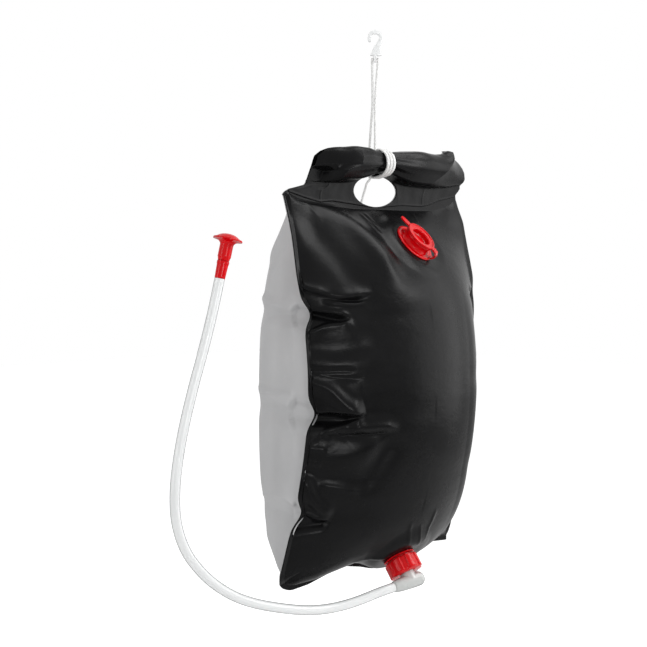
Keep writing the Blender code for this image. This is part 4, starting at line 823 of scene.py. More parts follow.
# Creases of the front sheet as the photograph shows them: round, sharp, or a fold, steep on its right side
front_creases = (
    ("round", 6.5, 19, ((-0.98, -0.03), (-0.74, -0.005), (-0.46, 0.035), (-0.33, 0.10), (-0.29, 0.18),
                        (-0.31, 0.26))),
    ("round", -3.8, 20, ((-0.90, 0.00), (-0.78, 0.08), (-0.66, 0.15), (-0.58, 0.25), (-0.56, 0.33))),
    ("sharp", 0.5, 3, ((-0.97, -0.02), (-0.82, 0.0), (-0.68, 0.04))),
    ("round", -2.0, 13, ((-1.0, 0.368), (-0.80, 0.380), (-0.50, 0.360))),
    ("round", 1.8, 13, ((-1.0, 0.405), (-0.80, 0.412), (-0.44, 0.395))),
    ("round", 2.2, 14, ((-1.0, 0.655), (-0.78, 0.668), (-0.45, 0.640))),
    ("round", -2.0, 13, ((-1.0, 0.700), (-0.75, 0.712), (-0.50, 0.690))),
    ("fold", 6.7, 7.7, ((-1.0, 0.212), (-0.863, 0.228), (-0.745, 0.238), (-0.505, 0.224), (-0.475, 0.230))),
    ("sharp", -5.0, 6.5, ((-0.90, 0.225), (-0.818, 0.236), (-0.69, 0.247), (-0.505, 0.247))),
    ("sharp", 3.9, 5.2, ((-0.90, 0.252), (-0.848, 0.252), (-0.672, 0.258), (-0.497, 0.250))),
    ("sharp", 5.9, 6.5, ((-1.0, 0.270), (-0.87, 0.276), (-0.74, 0.284), (-0.69, 0.288))),
    ("sharp", -5.0, 6.5, ((-1.0, 0.283), (-0.85, 0.294), (-0.70, 0.300))),
    ("fold", 5.0, 6.5, ((-0.688, 0.291), (-0.74, 0.308), (-0.887, 0.316), (-1.0, 0.333))),
    ("sharp", -2.8, 3.8, ((-1.0, 0.432), (-0.845, 0.432), (-0.667, 0.432))),
    ("sharp", -2.5, 3.8, ((-1.0, 0.441), (-0.848, 0.450), (-0.62, 0.455))),
    ("round", 5.9, 9.0, ((-1.0, 0.461), (-0.88, 0.481), (-0.765, 0.520), (-0.61, 0.545))),
    ("fold", 7.8, 9.0, ((-1.0, 0.536), (-0.875, 0.535), (-0.665, 0.547), (-0.605, 0.545))),
    ("round", -6.7, 7.7, ((-1.0, 0.560), (-0.85, 0.562), (-0.662, 0.566))),
    ("fold", 5.0, 6.5, ((-0.613, 0.556), (-0.792, 0.579), (-0.885, 0.589), (-0.907, 0.598), (-0.843, 0.605))),
    ("sharp", 4.8, 6.5, ((-0.75, 0.586), (-0.465, 0.583), (-0.328, 0.600))),
    ("sharp", -5.0, 6.5, ((-0.882, 0.600), (-0.643, 0.606), (-0.333, 0.604))),
    ("round", -5.0, 14.9, ((-0.325, 0.603), (-0.448, 0.660), (-0.53, 0.715), (-0.59, 0.785))),
    ("sharp", 1.8, 3.8, ((-1.0, 0.635), (-0.867, 0.640))),
    ("sharp", 1.8, 3.8, ((-1.0, 0.671), (-0.89, 0.681))),
    ("sharp", 2.4, 5.2, ((-0.917, 0.733), (-0.75, 0.746), (-0.56, 0.763))),
    ("round", 5.9, 7.7, ((-0.99, 0.731), (-0.905, 0.785), (-0.772, 0.821))),
    ("fold", 5.9, 6.5, ((-1.0, 0.809), (-0.895, 0.826), (-0.76, 0.834))),
    ("round", -5.9, 6.5, ((-0.765, 0.842), (-0.90, 0.846), (-1.0, 0.850))),
    ("fold", 2.2, 5, ((-0.48, 0.975), (-0.338, 0.975), (-0.095, 0.955), (-0.037, 0.925))),
    ("sharp", 1.2, 3, ((-0.09, 0.86), (-0.057, 0.93))),
    ("sharp", 1.2, 3, ((0.025, 0.87), (0.07, 0.94))),
    ("sharp", 1.4, 3, ((0.175, 0.83), (0.137, 0.927))),
    ("sharp", 1.0, 3, ((-0.23, 0.004), (-0.165, 0.085))),
    ("sharp", 0.9, 3, ((-0.17, 0.004), (-0.125, 0.07))),
    ("sharp", 0.9, 3, ((0.42, 0.004), (0.36, 0.08))),
    ("sharp", 2.0, 5, ((1.0, 0.215), (0.90, 0.222), (0.78, 0.232))),
    ("sharp", -1.8, 5, ((1.0, 0.235), (0.88, 0.245), (0.72, 0.250))),
    ("sharp", 2.0, 5, ((1.0, 0.450), (0.90, 0.456), (0.78, 0.470))),
    ("sharp", -1.8, 5, ((1.0, 0.472), (0.88, 0.480), (0.74, 0.484))),
    ("sharp", 2.0, 5, ((1.0, 0.715), (0.90, 0.722), (0.80, 0.732))),
    ("sharp", -1.8, 5, ((1.0, 0.735), (0.88, 0.745), (0.76, 0.750))),
)
rear_creases = (
    ("fold", 5.0, 16, ((-0.50, 0.240), (-0.78, 0.260), (-1.0, 0.283))),
    ("sharp", 1.8, 5, ((-0.60, 0.250), (-0.805, 0.254), (-0.94, 0.251))),
    ("sharp", -2.4, 6, ((-0.62, 0.300), (-0.863, 0.282), (-1.0, 0.291))),
    ("fold", 5.0, 16, ((-0.50, 0.485), (-0.78, 0.512), (-1.0, 0.546))),
    ("sharp", 2.8, 6, ((-0.58, 0.512), (-0.823, 0.498), (-0.935, 0.509), (-1.0, 0.530))),
    ("sharp", -2.6, 6, ((-0.66, 0.548), (-0.86, 0.540), (-1.0, 0.548))),
    ("sharp", 2.6, 6, ((-0.52, 0.800), (-0.855, 0.773), (-0.96, 0.801), (-1.0, 0.810))),
    ("sharp", -2.4, 6, ((-0.68, 0.825), (-0.86, 0.818), (-1.0, 0.822))),
    ("sharp", 1.6, 5, ((1.0, 0.225), (0.86, 0.232), (0.66, 0.215))),
    ("sharp", 1.6, 5, ((1.0, 0.462), (0.86, 0.470), (0.64, 0.455))),
    ("sharp", 1.6, 5, ((1.0, 0.725), (0.86, 0.733), (0.62, 0.720))),
) + mirrored((
    ("round", 2.4, 9, ((-0.95, 0.02), (-0.72, 0.09), (-0.50, 0.13), (-0.30, 0.14))),
    ("round", -2.0, 8, ((-0.97, 0.06), (-0.78, 0.14), (-0.60, 0.20))),
    ("round", 2.2, 8, ((-0.96, 0.97), (-0.74, 0.92), (-0.52, 0.89))),
))

# Meshes of the sheets
FRONT_COLUMNS, FRONT_ROWS = 232, 300
REAR_COLUMNS, REAR_ROWS = 150, 200
WELD_COLUMNS, BAND_ROWS = 5, 21
BELOW_FOOT = 1.05          # the share t given to the weld under the bag's foot
CORNER_R = 0.028           # round of the weld at the lower left corner
# Shares over which creases fade at the band, the foot and the side welds, and their length at a fitting
CREASE_BAND_SPAN, CREASE_FOOT_SHARE, CREASE_WELD_SHARE = (-0.02, 0.01), 0.02, 0.6
CREASE_FITTING_SPAN = 0.012
CUT_REACH, CUT_LEAST = 3.0, 0.2    # rim vertices between these levels of a cut's ellipse are drawn onto it


def normals_of(points):
    across = np.gradient(points, axis=1)
    down = np.gradient(points, axis=0)
    normal = np.cross(down, across)
    return normal / np.maximum(np.linalg.norm(normal, axis=-1), TINY ** 2)[..., None]


def flattened(points, centre, axis, flat_radius):
    """The sheet drawn flat round a fitting."""
    out = points - np.array(centre)
    height = out @ np.array(axis)
    radius = np.linalg.norm(out - height[..., None] * np.array(axis), axis=-1)
    blend = smoothstep((radius - flat_radius) / FLAT_BLEND)
    blend = np.where(np.abs(height) > flat_radius, 1.0, blend)
    return points - (height * (1 - blend))[..., None] * np.array(axis)


def spaced(count):
    """Shares that crowd a little towards both ends."""
    s = np.linspace(0, 1, count)
    return (s + (1 - np.cos(math.pi * s)) / 2) / 2


def cut_round(verts, faces, centre, x_dir, y_dir, half_x, half_y, only=None):
    """Takes out the faces inside an ellipse and draws the rim's vertices onto it."""
    x_dir, y_dir = np.array(x_dir), np.array(y_dir)
    out = verts - np.array(centre)
    level = np.hypot(out @ x_dir / half_x, out @ y_dir / half_y)
    if only is not None:
        level = np.where(only, level, np.inf)
    inside = level[faces].mean(1) < 1
    rim = np.intersect1d(faces[inside], faces[~inside])
    rim = rim[level[rim] < CUT_REACH]
    move = 1 / np.maximum(level[rim], CUT_LEAST) - 1
    verts[rim] += (out[rim] @ x_dir * move)[:, None] * x_dir + (out[rim] @ y_dir * move)[:, None] * y_dir
    return faces[~inside]


def hand_hole_cut(verts, faces, only=None):
    return cut_round(verts, faces, (0, 0, HAND_HOLE_Z), (1, 0, 0), (0, 0, 1), HAND_HOLE_W / 2,
                     HAND_HOLE_TALL / 2, only)


def fitting_cut(verts, faces, place, radius):
    near_seat = np.linalg.norm(verts - np.array(place.translation), axis=1) < 2 * radius
    x_dir, y_dir = [place.to_3x3() @ Vector(d) for d in ((1, 0, 0), (0, 1, 0))]
    reach = radius + FIT_GAP
    return cut_round(verts, faces, place.translation, x_dir, y_dir, reach, reach, near_seat)


def thicken(obj, side):
    """Gives the film its thickness, outwards from the mesh or inwards."""
    film = obj.modifiers.new("film", "SOLIDIFY")
    film.thickness = FILM
    film.offset = side


def corner_rounded(points, radius):
    """The sheet with its lower left corner drawn to a round of the radius given."""
    corner = points[-1, 0]
    over = np.maximum(corner[0] + radius - points[..., 0], 0.0)
    under = np.maximum(corner[2] + radius - points[..., 2], 0.0)
    square, straight = np.maximum(over, under), np.hypot(over, under)
    pull = np.where((over > 0) & (under > 0), 1 - square / np.maximum(straight, TINY), 0.0)
    out = points.copy()
    out[..., 0] += over * pull
    out[..., 2] += under * pull
    return out


def shares_across(columns, weld):
    side_weld = np.linspace(1, 1 + weld, WELD_COLUMNS + 1)[1:]
    return np.concatenate([-side_weld[::-1], 2 * spaced(columns) - 1, side_weld])


def with_foot(side, points):
    """The sheet with its weld below the bottom edge."""
    steps = np.linspace(0, WELD_W, WELD_COLUMNS + 1)[1:]
    foot = np.concatenate([points[-1:] - np.array((0, 0, s)) for s in steps])
    foot[..., 1] = side * FIT_GAP / 2
    return np.concatenate([points, foot])


def creased(side, points, u, t, creases, arc_w, weld):
    """The sheet raised by its creases, which fade at the welds, the band and the fittings."""
    height = crease_height(u, t, creases, arc_w)
    height *= smoothstep((1 + weld * CREASE_WELD_SHARE - np.abs(u)) / (weld * CREASE_WELD_SHARE))
    height *= rising(t, *CREASE_BAND_SPAN) * smoothstep((1 - t) / CREASE_FOOT_SHARE)
    for seat, radius in ((FILLER_SEAT, FILLER_FLANGE_D / 2), (OUTLET_SEAT, SPOUT_FLANGE_D / 2)):
        away = np.linalg.norm(points - np.array(seat), axis=-1)
        height *= smoothstep((away - radius) / CREASE_FITTING_SPAN)
    normals = normals_of(points)
    return points + side * (normals * np.sign(normals[..., 1:2])) * height[..., None]


def sheet_piece(name, side, columns, rows, creases, arc_w, material, replaced):
    weld = WELD_W / MID_HALF_W
    t = np.concatenate([np.linspace(-BAND_SHARE, 0, BAND_ROWS + 1)[:-1], spaced(rows)])
    t, u = np.meshgrid(t, shares_across(columns, weld), indexing="ij")
    points = with_foot(side, film_grid(side, u, t))
    u = np.concatenate([u, np.repeat(u[-1:], WELD_COLUMNS, 0)])
    t = np.concatenate([t, np.full((WELD_COLUMNS, t.shape[1]), BELOW_FOOT)])
    if side < 0:
        points = flattened(points, FILLER_SEAT, FILLER_LEAN, FILLER_FLANGE_D / 2 + FLAT_MARGIN)
        points = flattened(points, OUTLET_SEAT, OUTLET_AXIS, SPOUT_FLANGE_D / 2 + FLAT_MARGIN)
    points = creased(side, corner_rounded(points, CORNER_R), u, t, creases, arc_w, weld)
    verts = points.reshape(-1, 3)
    faces = hand_hole_cut(verts, quads_of(*points.shape[:2]), (t < 0.0).reshape(-1))
    if side < 0:
        faces = fitting_cut(verts, faces, FILLER_FRAME, FILLER_LIP_D / 2)
        faces = fitting_cut(verts, faces, OUTLET_FRAME, SPOUT_D / 2)
    thicken(new_piece(name, mesh_from(name, verts, faces), material, "bag", replaced), side)


# Header sleeve: height share on the tube against half width, left and right
sleeve_left_end = ((0.0, 0.1170), (0.10, 0.1146), (0.44, 0.1072), (0.76, 0.1022), (0.91, 0.0940),
                   (1.0, 0.0850))
sleeve_right_end = ((0.0, 0.1610), (0.08, 0.1655), (0.18, 0.1675), (0.37, 0.1650), (0.52, 0.1600),
                    (0.67, 0.1530), (0.80, 0.1440), (0.92, 0.1330), (1.0, 0.1235))
# Where the roll begins to close towards its ends, and how full it still is at the very end
left_closing = ((0.0, 0.0800), (0.30, 0.0740), (0.46, 0.0520), (1.0, 0.0450))
left_closed = ((0.0, 0.0950), (0.30, 0.0890), (0.46, 0.1160), (1.0, 0.1130))
right_closing = ((0.0, 0.0800), (0.45, 0.1000), (0.85, 0.1200), (1.0, 0.1250))
LEFT_FULL, RIGHT_FULL = 0.05, 0.18
# Rise of the tube's top along X, and of the two weld lines
sleeve_top_rise = ((-0.100, -0.0040), (-0.088, -0.0026), (-0.070, 0.0000), (-0.046, 0.0016), (-0.030, 0.0020),
                   (-0.020, 0.0004), (0.0, 0.0), (0.020, 0.0000), (0.045, 0.0002), (0.070, 0.0000),
                   (0.095, -0.0014), (0.108, -0.0008), (0.119, 0.0034), (0.125, 0.0034))
upper_weld_rise = ((-0.150, 0.0000), (-0.094, 0.0014), (-0.031, 0.0025), (0.0, 0.0024), (0.032, 0.0018),
                   (0.091, -0.0008), (0.123, 0.0012), (0.160, 0.0060))
lower_weld_rise = ((-0.150, 0.0120), (-0.118, 0.0050), (-0.097, 0.0010), (-0.076, 0.0028), (-0.041, 0.0000),
                   (-0.010, -0.0030), (0.010, -0.0030), (0.048, 0.0002), (0.087, -0.0004), (0.105, 0.0030),
                   (0.119, 0.0074), (0.151, 0.0130))
SLEEVE_STATIONS, SKIRT_ROWS, ARC_ROWS = 301, 22, 110
STRAIGHT_SHARE = 0.30      # middle part whose stations keep their places
SLEEVE_FLAT = 0.0014       # depth of the closed ends
CLOSING_ROUND = 0.2        # how softly the roll begins to close
LEAST_CLOSING = 0.004      # least length over which it closes
UNDERSIDE_POWER = 0.62     # below 1, the roll's lower front tucks in towards the weld
WAIST_TRIM = 0.0024        # the waist's lower line lies this much lower than in the CAD
SKIRT_INSET = 0.0008       # how far the skirt ends inside the band
WELD_MARKS, WELD_MARK_W, WELD_MARK_TALL = (-0.0960, 0.0880), 0.0010, 0.0003
WELD_LIP, WELD_LIP_W = 0.0009, 0.0011
HEM_LIP_SHARE, HEM_LIP_UP = 0.7, 0.0010
SMOOTH_HALF_W = 0.04       # the skirt has no fine creases above the hand hole
# Waves of the film: length along X, slant and start
SKIRT_CREASE, skirt_creases = 0.00016, ((0.0041, 0.0, 0.0), (0.0113, 0.0, 1.0))
SKIRT_SLANT, skirt_slant = 0.00026, (0.0090, 2.6, 0.0)
SLACK_RELIEF, slack_waves = 0.0011, ((0.026, 1.2, 1.0), (0.041, -2.0, 0.0))
SHORT_SLACK_SHARE, short_slack = 0.5, (0.011, 0.8, 0.0)
SLACK_TOP, SLACK_TOP_SPAN, SLACK_LOW_SPAN = math.radians(60), 1.0, 0.25
# Gathers beside the waist: number round the roll, size and start of each wave
GATHER_RELIEF, gather_waves = 0.0016, ((6, 1.0, 0.7), (9, 0.7, 2.1), (4, 0.6, 5.0))
GATHER_REACH, GATHER_START = 0.034, 0.006
ROLL_R = 0.016
RELIEF_UP_SHARE = 0.6      # part of the relief that goes up and down, against front and back


def bumps_at(values, places, wide):
    return sum(np.exp(-((values - p) / wide) ** 2) for p in places)


def wave(x, turn, length, slant, start):
    return np.sin(x / length + slant * turn + start)


def drawn_out(s, width):
    """Place of the stations s when the sleeve's end lies at the half width given."""
    far = np.abs(s)
    straight = STRAIGHT_SHARE * SLEEVE_HALF_W
    outer = straight + (width - straight) * (far - STRAIGHT_SHARE) / (1 - STRAIGHT_SHARE)
    return np.sign(s) * np.where(far < STRAIGHT_SHARE, far * SLEEVE_HALF_W, outer)


def end_width(s, level):
    left, right = [np.interp(level, *zip(*end)) for end in (sleeve_left_end, sleeve_right_end)]
    return np.where(s < 0, left, right)


def roll_fullness(s, level):
    """How far the roll stands open, from 1 in its middle to nearly flat at its left end."""
    width = end_width(s, level)
    away = np.abs(drawn_out(s, width))
    begin, closed = np.interp(level, *zip(*left_closing)), np.interp(level, *zip(*left_closed))
    left = np.clip((closed - away) / (closed - begin), 0, 1)
    left = CLOSING_ROUND * smoothstep(left) + (1 - CLOSING_ROUND) * left
    begin = np.interp(level, *zip(*right_closing))
    right = np.clip((width - away) / np.maximum(width - begin, LEAST_CLOSING), 0, 1)
    return np.where(s < 0, LEFT_FULL + (1 - LEFT_FULL) * left, RIGHT_FULL + (1 - RIGHT_FULL) * right)


def front_skirt(x, shares, low, hem):
    """Rows from the front hem up, with a lip along both weld lines, two upright marks and fine creases."""
    rows = []
    for k in shares:
        z = hem + (low - hem) * k
        lips = bumps_at(z, (low,), WELD_LIP_W) + HEM_LIP_SHARE * bumps_at(z, (hem + HEM_LIP_UP,), WELD_LIP_W)
        marks = bumps_at(x, WELD_MARKS, WELD_MARK_W) * WELD_MARK_TALL
        one, other = [wave(x, k, *sizes) for sizes in skirt_creases]
        creases = SKIRT_CREASE * one * other * np.sin(math.pi * k) ** 0.5
        creases += SKIRT_SLANT * wave(x, k, *skirt_slant) * np.sin(math.pi * k)
        y = -SKIRT_OUT - WELD_LIP * lips - marks + creases * (np.abs(x) > SMOOTH_HALF_W)
        rows.append(np.stack([x, y, z], -1))
    return rows


def roll_row(s, x, a, pull, low, top):
    """One row along the roll, at the angle a round it, with its gathers and slack film."""
    first = SLEEVE_ARC[0]
    full = roll_fullness(s, (1 + math.sin(a)) / 2)
    deep = SLEEVE_FLAT + (SLEEVE_DEEP - SLEEVE_PINCH_DEEP * pull - SLEEVE_FLAT) * full
    gather = np.exp(-np.abs(x) / GATHER_REACH) * (1 - np.exp(-np.abs(x) / GATHER_START))
    fold = sum(size * math.sin(count * a + start) for count, size, start in gather_waves)
    one, other = [wave(x, a, *sizes) for sizes in slack_waves]
    slack = one * other * (1 - pull) + SHORT_SLACK_SHARE * wave(x, a, *short_slack) * (1 - pull) ** 3
    slack = slack * smoothstep((a - SLACK_TOP) / SLACK_TOP_SPAN) * smoothstep((first - a) / SLACK_LOW_SPAN)
    relief = (GATHER_RELIEF * gather * fold + SLACK_RELIEF * slack) / ROLL_R * np.sqrt(full)
    turn = a
    if a > math.pi:
        turn = math.pi + (first - math.pi) * ((a - math.pi) / (first - math.pi)) ** UNDERSIDE_POWER
    y = deep / 2 * math.cos(turn) * (1 + relief)
    z = (top + low) / 2 + (top - low) / 2 * math.sin(a) * (1 + relief * RELIEF_UP_SHARE)
    return np.stack([x, SKIRT_OUT + FILM - deep / 2 + y, z], -1)


def build_sleeve():
    s = np.linspace(-1, 1, SLEEVE_STATIONS)
    x = s * SLEEVE_HALF_W
    pull = np.exp(-(x / SLEEVE_PINCH_W) ** 2)
    top_x = drawn_out(s, end_width(s, 1.0))
    top = SLEEVE_TOP_Z - SLEEVE_PINCH_TOP * pull + np.interp(top_x, *zip(*sleeve_top_rise))
    low = BAND_TOP_Z + (SLEEVE_PINCH_LOW - WAIST_TRIM) * pull + np.interp(x, *zip(*upper_weld_rise))
    hem = SLEEVE_SKIRT_Z + np.interp(x, *zip(*lower_weld_rise))
    shares = np.linspace(0, 1, SKIRT_ROWS)[:-1]
    rows = front_skirt(x, shares, low, hem)
    first, last = SLEEVE_ARC
    for k in range(ARC_ROWS + 1):
        rows.append(roll_row(s, x, first + (last - first) * k / ARC_ROWS, pull, low, top))
    for k in shares[::-1]:
        rows.append(np.stack([x, np.full(SLEEVE_STATIONS, SKIRT_OUT), hem + (low - hem) * k], -1))
    points = np.stack(rows)
    z = points[..., 2]
    stack = np.broadcast_to(s, z.shape)
    width = end_width(stack, np.clip((z - low) / (top - low), 0, 1))
    skirt_w = ear_half_width(stack, np.minimum(z, BAND_TOP_Z)) - TOP_DRAWN - SKIRT_INSET
    points[..., 0] = drawn_out(stack, np.where(z >= low, width, skirt_w))
    verts = points.reshape(-1, 3)
    faces = hand_hole_cut(verts, quads_of(*points.shape[:2]))
    thicken(new_piece("header_roll", mesh_from("header_roll", verts, faces), BLACK_FILM, "bag",
                      ["header_sleeve"]), -1)


# Rod in the sleeve, with tapered ends where the sleeve closes
ROD_TIP_R, ROD_NECK_R, ROD_TIP_LONG, ROD_TAPER_LONG = 0.0010, 0.0026, 0.0040, 0.0320
ROD_TIP_BACK = 0.0072      # the tips slant to the rear, where the sleeve's wall is straight
ROD_TIP_DOWN = 0.0030
ROD_EDGE_R = 0.0006


def build_rod():
    low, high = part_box("handle_rod")
    half, radius = (high.x - low.x) / 2, (high.z - low.z) / 2
    one_end = [(0.0, half), (ROD_TIP_R, half), (ROD_NECK_R, half - ROD_TIP_LONG),
               (radius, half - ROD_TAPER_LONG)]
    profile = one_end + [(r, -z) for r, z in one_end[::-1]]
    mesh = turned("rod", rounded(profile, ROD_EDGE_R, closed=False))
    for vertex in mesh.vertices:
        past = max(0.0, abs(vertex.co.z) - (half - ROD_TAPER_LONG)) / ROD_TAPER_LONG
        vertex.co.y -= past * ROD_TIP_BACK
        vertex.co.x -= past * ROD_TIP_DOWN
    new_piece("rod", mesh, ROD, "bag", ["handle_rod"], frame_at((low + high) / 2, (1, 0, 0), (0, 0, 1)))


# Hook
HOOK_SEAT_ANGLE = math.radians(68)     # the throat's top is cut flat between this angle and its mirror image
HOOK_TIP_ANGLE = math.radians(205)
HOOK_BACK_ANGLE = math.radians(-40)
HOOK_WAIST_SHARE = 0.62
HOOK_STEPS, HOOK_TIP_STEPS, EYE_STEPS = 16, 8, 32
HOOK_CURVE_STEP = 0.0007
HOOK_FOOT_CUT = 0.0006
BEVEL_ANGLE = math.radians(35)
CUT_SHARP_EDGE = math.radians(40)
CUT_OVERRUN = 3
BEVEL_STEPS, LID_BEVEL_STEPS = 3, 2


def arc_points(x, y, radius, start, stop, steps):
    """Points of an arc about (x, y), both ends included."""
    angles = [start + (stop - start) * k / steps for k in range(steps + 1)]
    return [(x + radius * math.cos(a), y + radius * math.sin(a)) for a in angles]


def hook_outline():
    centre = -HOOK_THROAT_R * math.sin(HOOK_SEAT_ANGLE)
    outer = HOOK_THROAT_R + HOOK_WALL
    foot = -HOOK_SHANK_LEN
    waist = foot * HOOK_WAIST_SHARE
    end = foot - HOOK_EYE_DROP - HOOK_EYE_TALL / 2 - HOOK_EYE_WALL
    web = HOOK_WEB_THICK / 2
    low, high = foot + HOOK_FOOT_TALL, foot + HOOK_FOOT_TALL * 2
    right, left = HOOK_FOOT_RIGHT, HOOK_FOOT_LEFT
    right_side = [(outer, centre), (outer * 0.97, foot * 0.42), (right * 0.86, waist),
                  (right * 0.88, high), (right, low)]
    back = arc_points(0.0, centre, HOOK_THROAT_R, HOOK_BACK_ANGLE, HOOK_SEAT_ANGLE, HOOK_STEPS)
    left_side = [(-left, low), (-left * 0.84, high), (-left * 0.30, waist), back[0]]
    points = arc_points(0.0, centre, outer, HOOK_TIP_ANGLE, 0.0, HOOK_STEPS * 2)
    points += flat_route(right_side, HOOK_CURVE_STEP)[1:]
    points += [(right, foot + HOOK_FOOT_CUT), (web, foot), (web, end), (-web, end), (-web, foot),
               (-left, foot + HOOK_FOOT_CUT)]
    points += flat_route(left_side, HOOK_CURVE_STEP) + back[1:]
    points += arc_points(0.0, centre, HOOK_THROAT_R, math.pi - HOOK_SEAT_ANGLE, HOOK_TIP_ANGLE, HOOK_STEPS)
    middle = (outer + HOOK_THROAT_R) / 2
    tip_x, tip_y = middle * math.cos(HOOK_TIP_ANGLE), centre + middle * math.sin(HOOK_TIP_ANGLE)
    turn = (HOOK_TIP_ANGLE + math.pi, HOOK_TIP_ANGLE)
    return points + arc_points(tip_x, tip_y, HOOK_WALL / 2, *turn, HOOK_TIP_STEPS)[1:-1]


def outline_mesh(name, points, thick):
    curve = bpy.data.curves.new(name, "CURVE")
    curve.dimensions = "2D"
    curve.fill_mode = "BOTH"
    curve.extrude = thick / 2
    spline = curve.splines.new("POLY")
    spline.points.add(len(points) - 1)
    for point, (x, y) in zip(spline.points, points):
        point.co = (x, y, 0.0, 1.0)
    spline.use_cyclic_u = True
    holder = bpy.data.objects.new(name + "_outline", curve)
    bpy.context.scene.collection.objects.link(holder)
    evaluated = holder.evaluated_get(bpy.context.evaluated_depsgraph_get())
    mesh = bpy.data.meshes.new_from_object(evaluated)
    mesh.name = name
    bpy.data.objects.remove(holder, do_unlink=True)
    return merged(mesh)


def soften(obj, width, segments=BEVEL_STEPS):
    mod = obj.modifiers.new("edges", "BEVEL")
    mod.width = width
    mod.segments = segments
    mod.limit_method = "ANGLE"
    mod.angle_limit = BEVEL_ANGLE
    mod.harden_normals = True


def cut_by(obj, mesh, place, operation="DIFFERENCE"):
    """Applies a Boolean with a mesh that is then removed."""
    cutter = bpy.data.objects.new(mesh.name + "_cutter", mesh)
    bpy.context.scene.collection.objects.link(cutter)
    cutter.matrix_world = place
    mod = obj.modifiers.new("cut", "BOOLEAN")
    mod.object = cutter
    mod.operation = operation
    mod.solver = "EXACT"
    bpy.context.view_layer.update()
    evaluated = obj.evaluated_get(bpy.context.evaluated_depsgraph_get())
    result = bpy.data.meshes.new_from_object(evaluated)
    obj.modifiers.clear()
    obj.data = result
    bpy.data.objects.remove(cutter, do_unlink=True)
    obj.data.set_sharp_from_angle(angle=CUT_SHARP_EDGE)


def build_hook():
    hook = new_piece("milky_hook", outline_mesh("milky_hook", hook_outline(), HOOK_THICK), MILKY_HOOK, "hook",
                     ["hook"], frame_at((0, 0, 0), VIEW_BACK, HOOK_ALONG))
    soften(hook, HOOK_EDGE_R)
    slot = []
    for k in range(EYE_STEPS):
        a = math.tau * (k + 0.5) / EYE_STEPS
        straight = math.copysign((HOOK_EYE_TALL - HOOK_EYE_W) / 2, math.sin(a))
        slot.append((HOOK_EYE_W / 2 * math.cos(a), HOOK_EYE_W / 2 * math.sin(a) + straight))
    cutter = outline_mesh("hook_eye", slot, HOOK_WEB_THICK * CUT_OVERRUN)
    cut_by(hook, cutter, frame_at(EYE, HOOK_ALONG, VIEW_BACK))


# Filler, in its own frame: +Z out of the bag, +X down the slope towards the hinge
MOULD_EDGE_R = 0.0005
LID_EDGE_R, STRAP_EDGE_R = 0.0003, 0.0004
STRAP_STEP = 0.0006
TAB_STEPS, LUG_STEPS = 24, 20
TAB_ROUND_SHARE, LUG_HALF_SHARE = 0.9, 0.7
LUG_ANGLE = math.radians(145)
RIM_TOP_SHARES = (0.9, 0.25)
# Steps of the outlines, out and up: the neck's top and foot, the flange's edge and the edge of the lid's cup
neck_top_steps = ((-0.0004, 0.0), (0.0, -0.0008), (0.0, -0.0022), (-0.0009, -0.0027))
neck_foot_steps = ((-0.0009, 0.0030), (0.0, 0.0018), (0.0012, 0.0004))
flange_edge_steps = ((-0.0040, 0.0), (-0.0034, 0.0003), (-0.0012, 0.0003), (-0.0002, -0.0004))
cup_edge_steps = ((0.0006, -0.0010), (0.0018, 0.0))
# Share of the cup's radius against the rise of its floor
cup_floor_rise = ((0.0, 0.0006), (0.5, 0.0005), (0.85, 0.0002), (1.0, 0.0012))


def build_filler():
    face = FILM + FIT_GAP
    flange_r, neck_r = FILLER_FLANGE_D / 2, FILLER_NECK_D / 2
    bore_r, lip_r = FILLER_BORE_D / 2, FILLER_LIP_D / 2
    deck = face + FILLER_FLANGE_THICK
    top = deck + FILLER_NECK_TALL
    profile = [(bore_r, top)] + stepped(neck_r, top, neck_top_steps) + stepped(neck_r, deck, neck_foot_steps)
    profile += stepped(flange_r, deck, flange_edge_steps)
    profile += [(flange_r, face), (lip_r, face), (lip_r, -FILLER_NECK_DEEP), (bore_r, -FILLER_NECK_DEEP)]
    mesh = turned("filler_base", rounded(profile, MOULD_EDGE_R))
    new_piece("filler_base", mesh, RED, "bag", ["filler_flange"], FILLER_FRAME)
    build_lid(top)
    build_strap(deck, top)


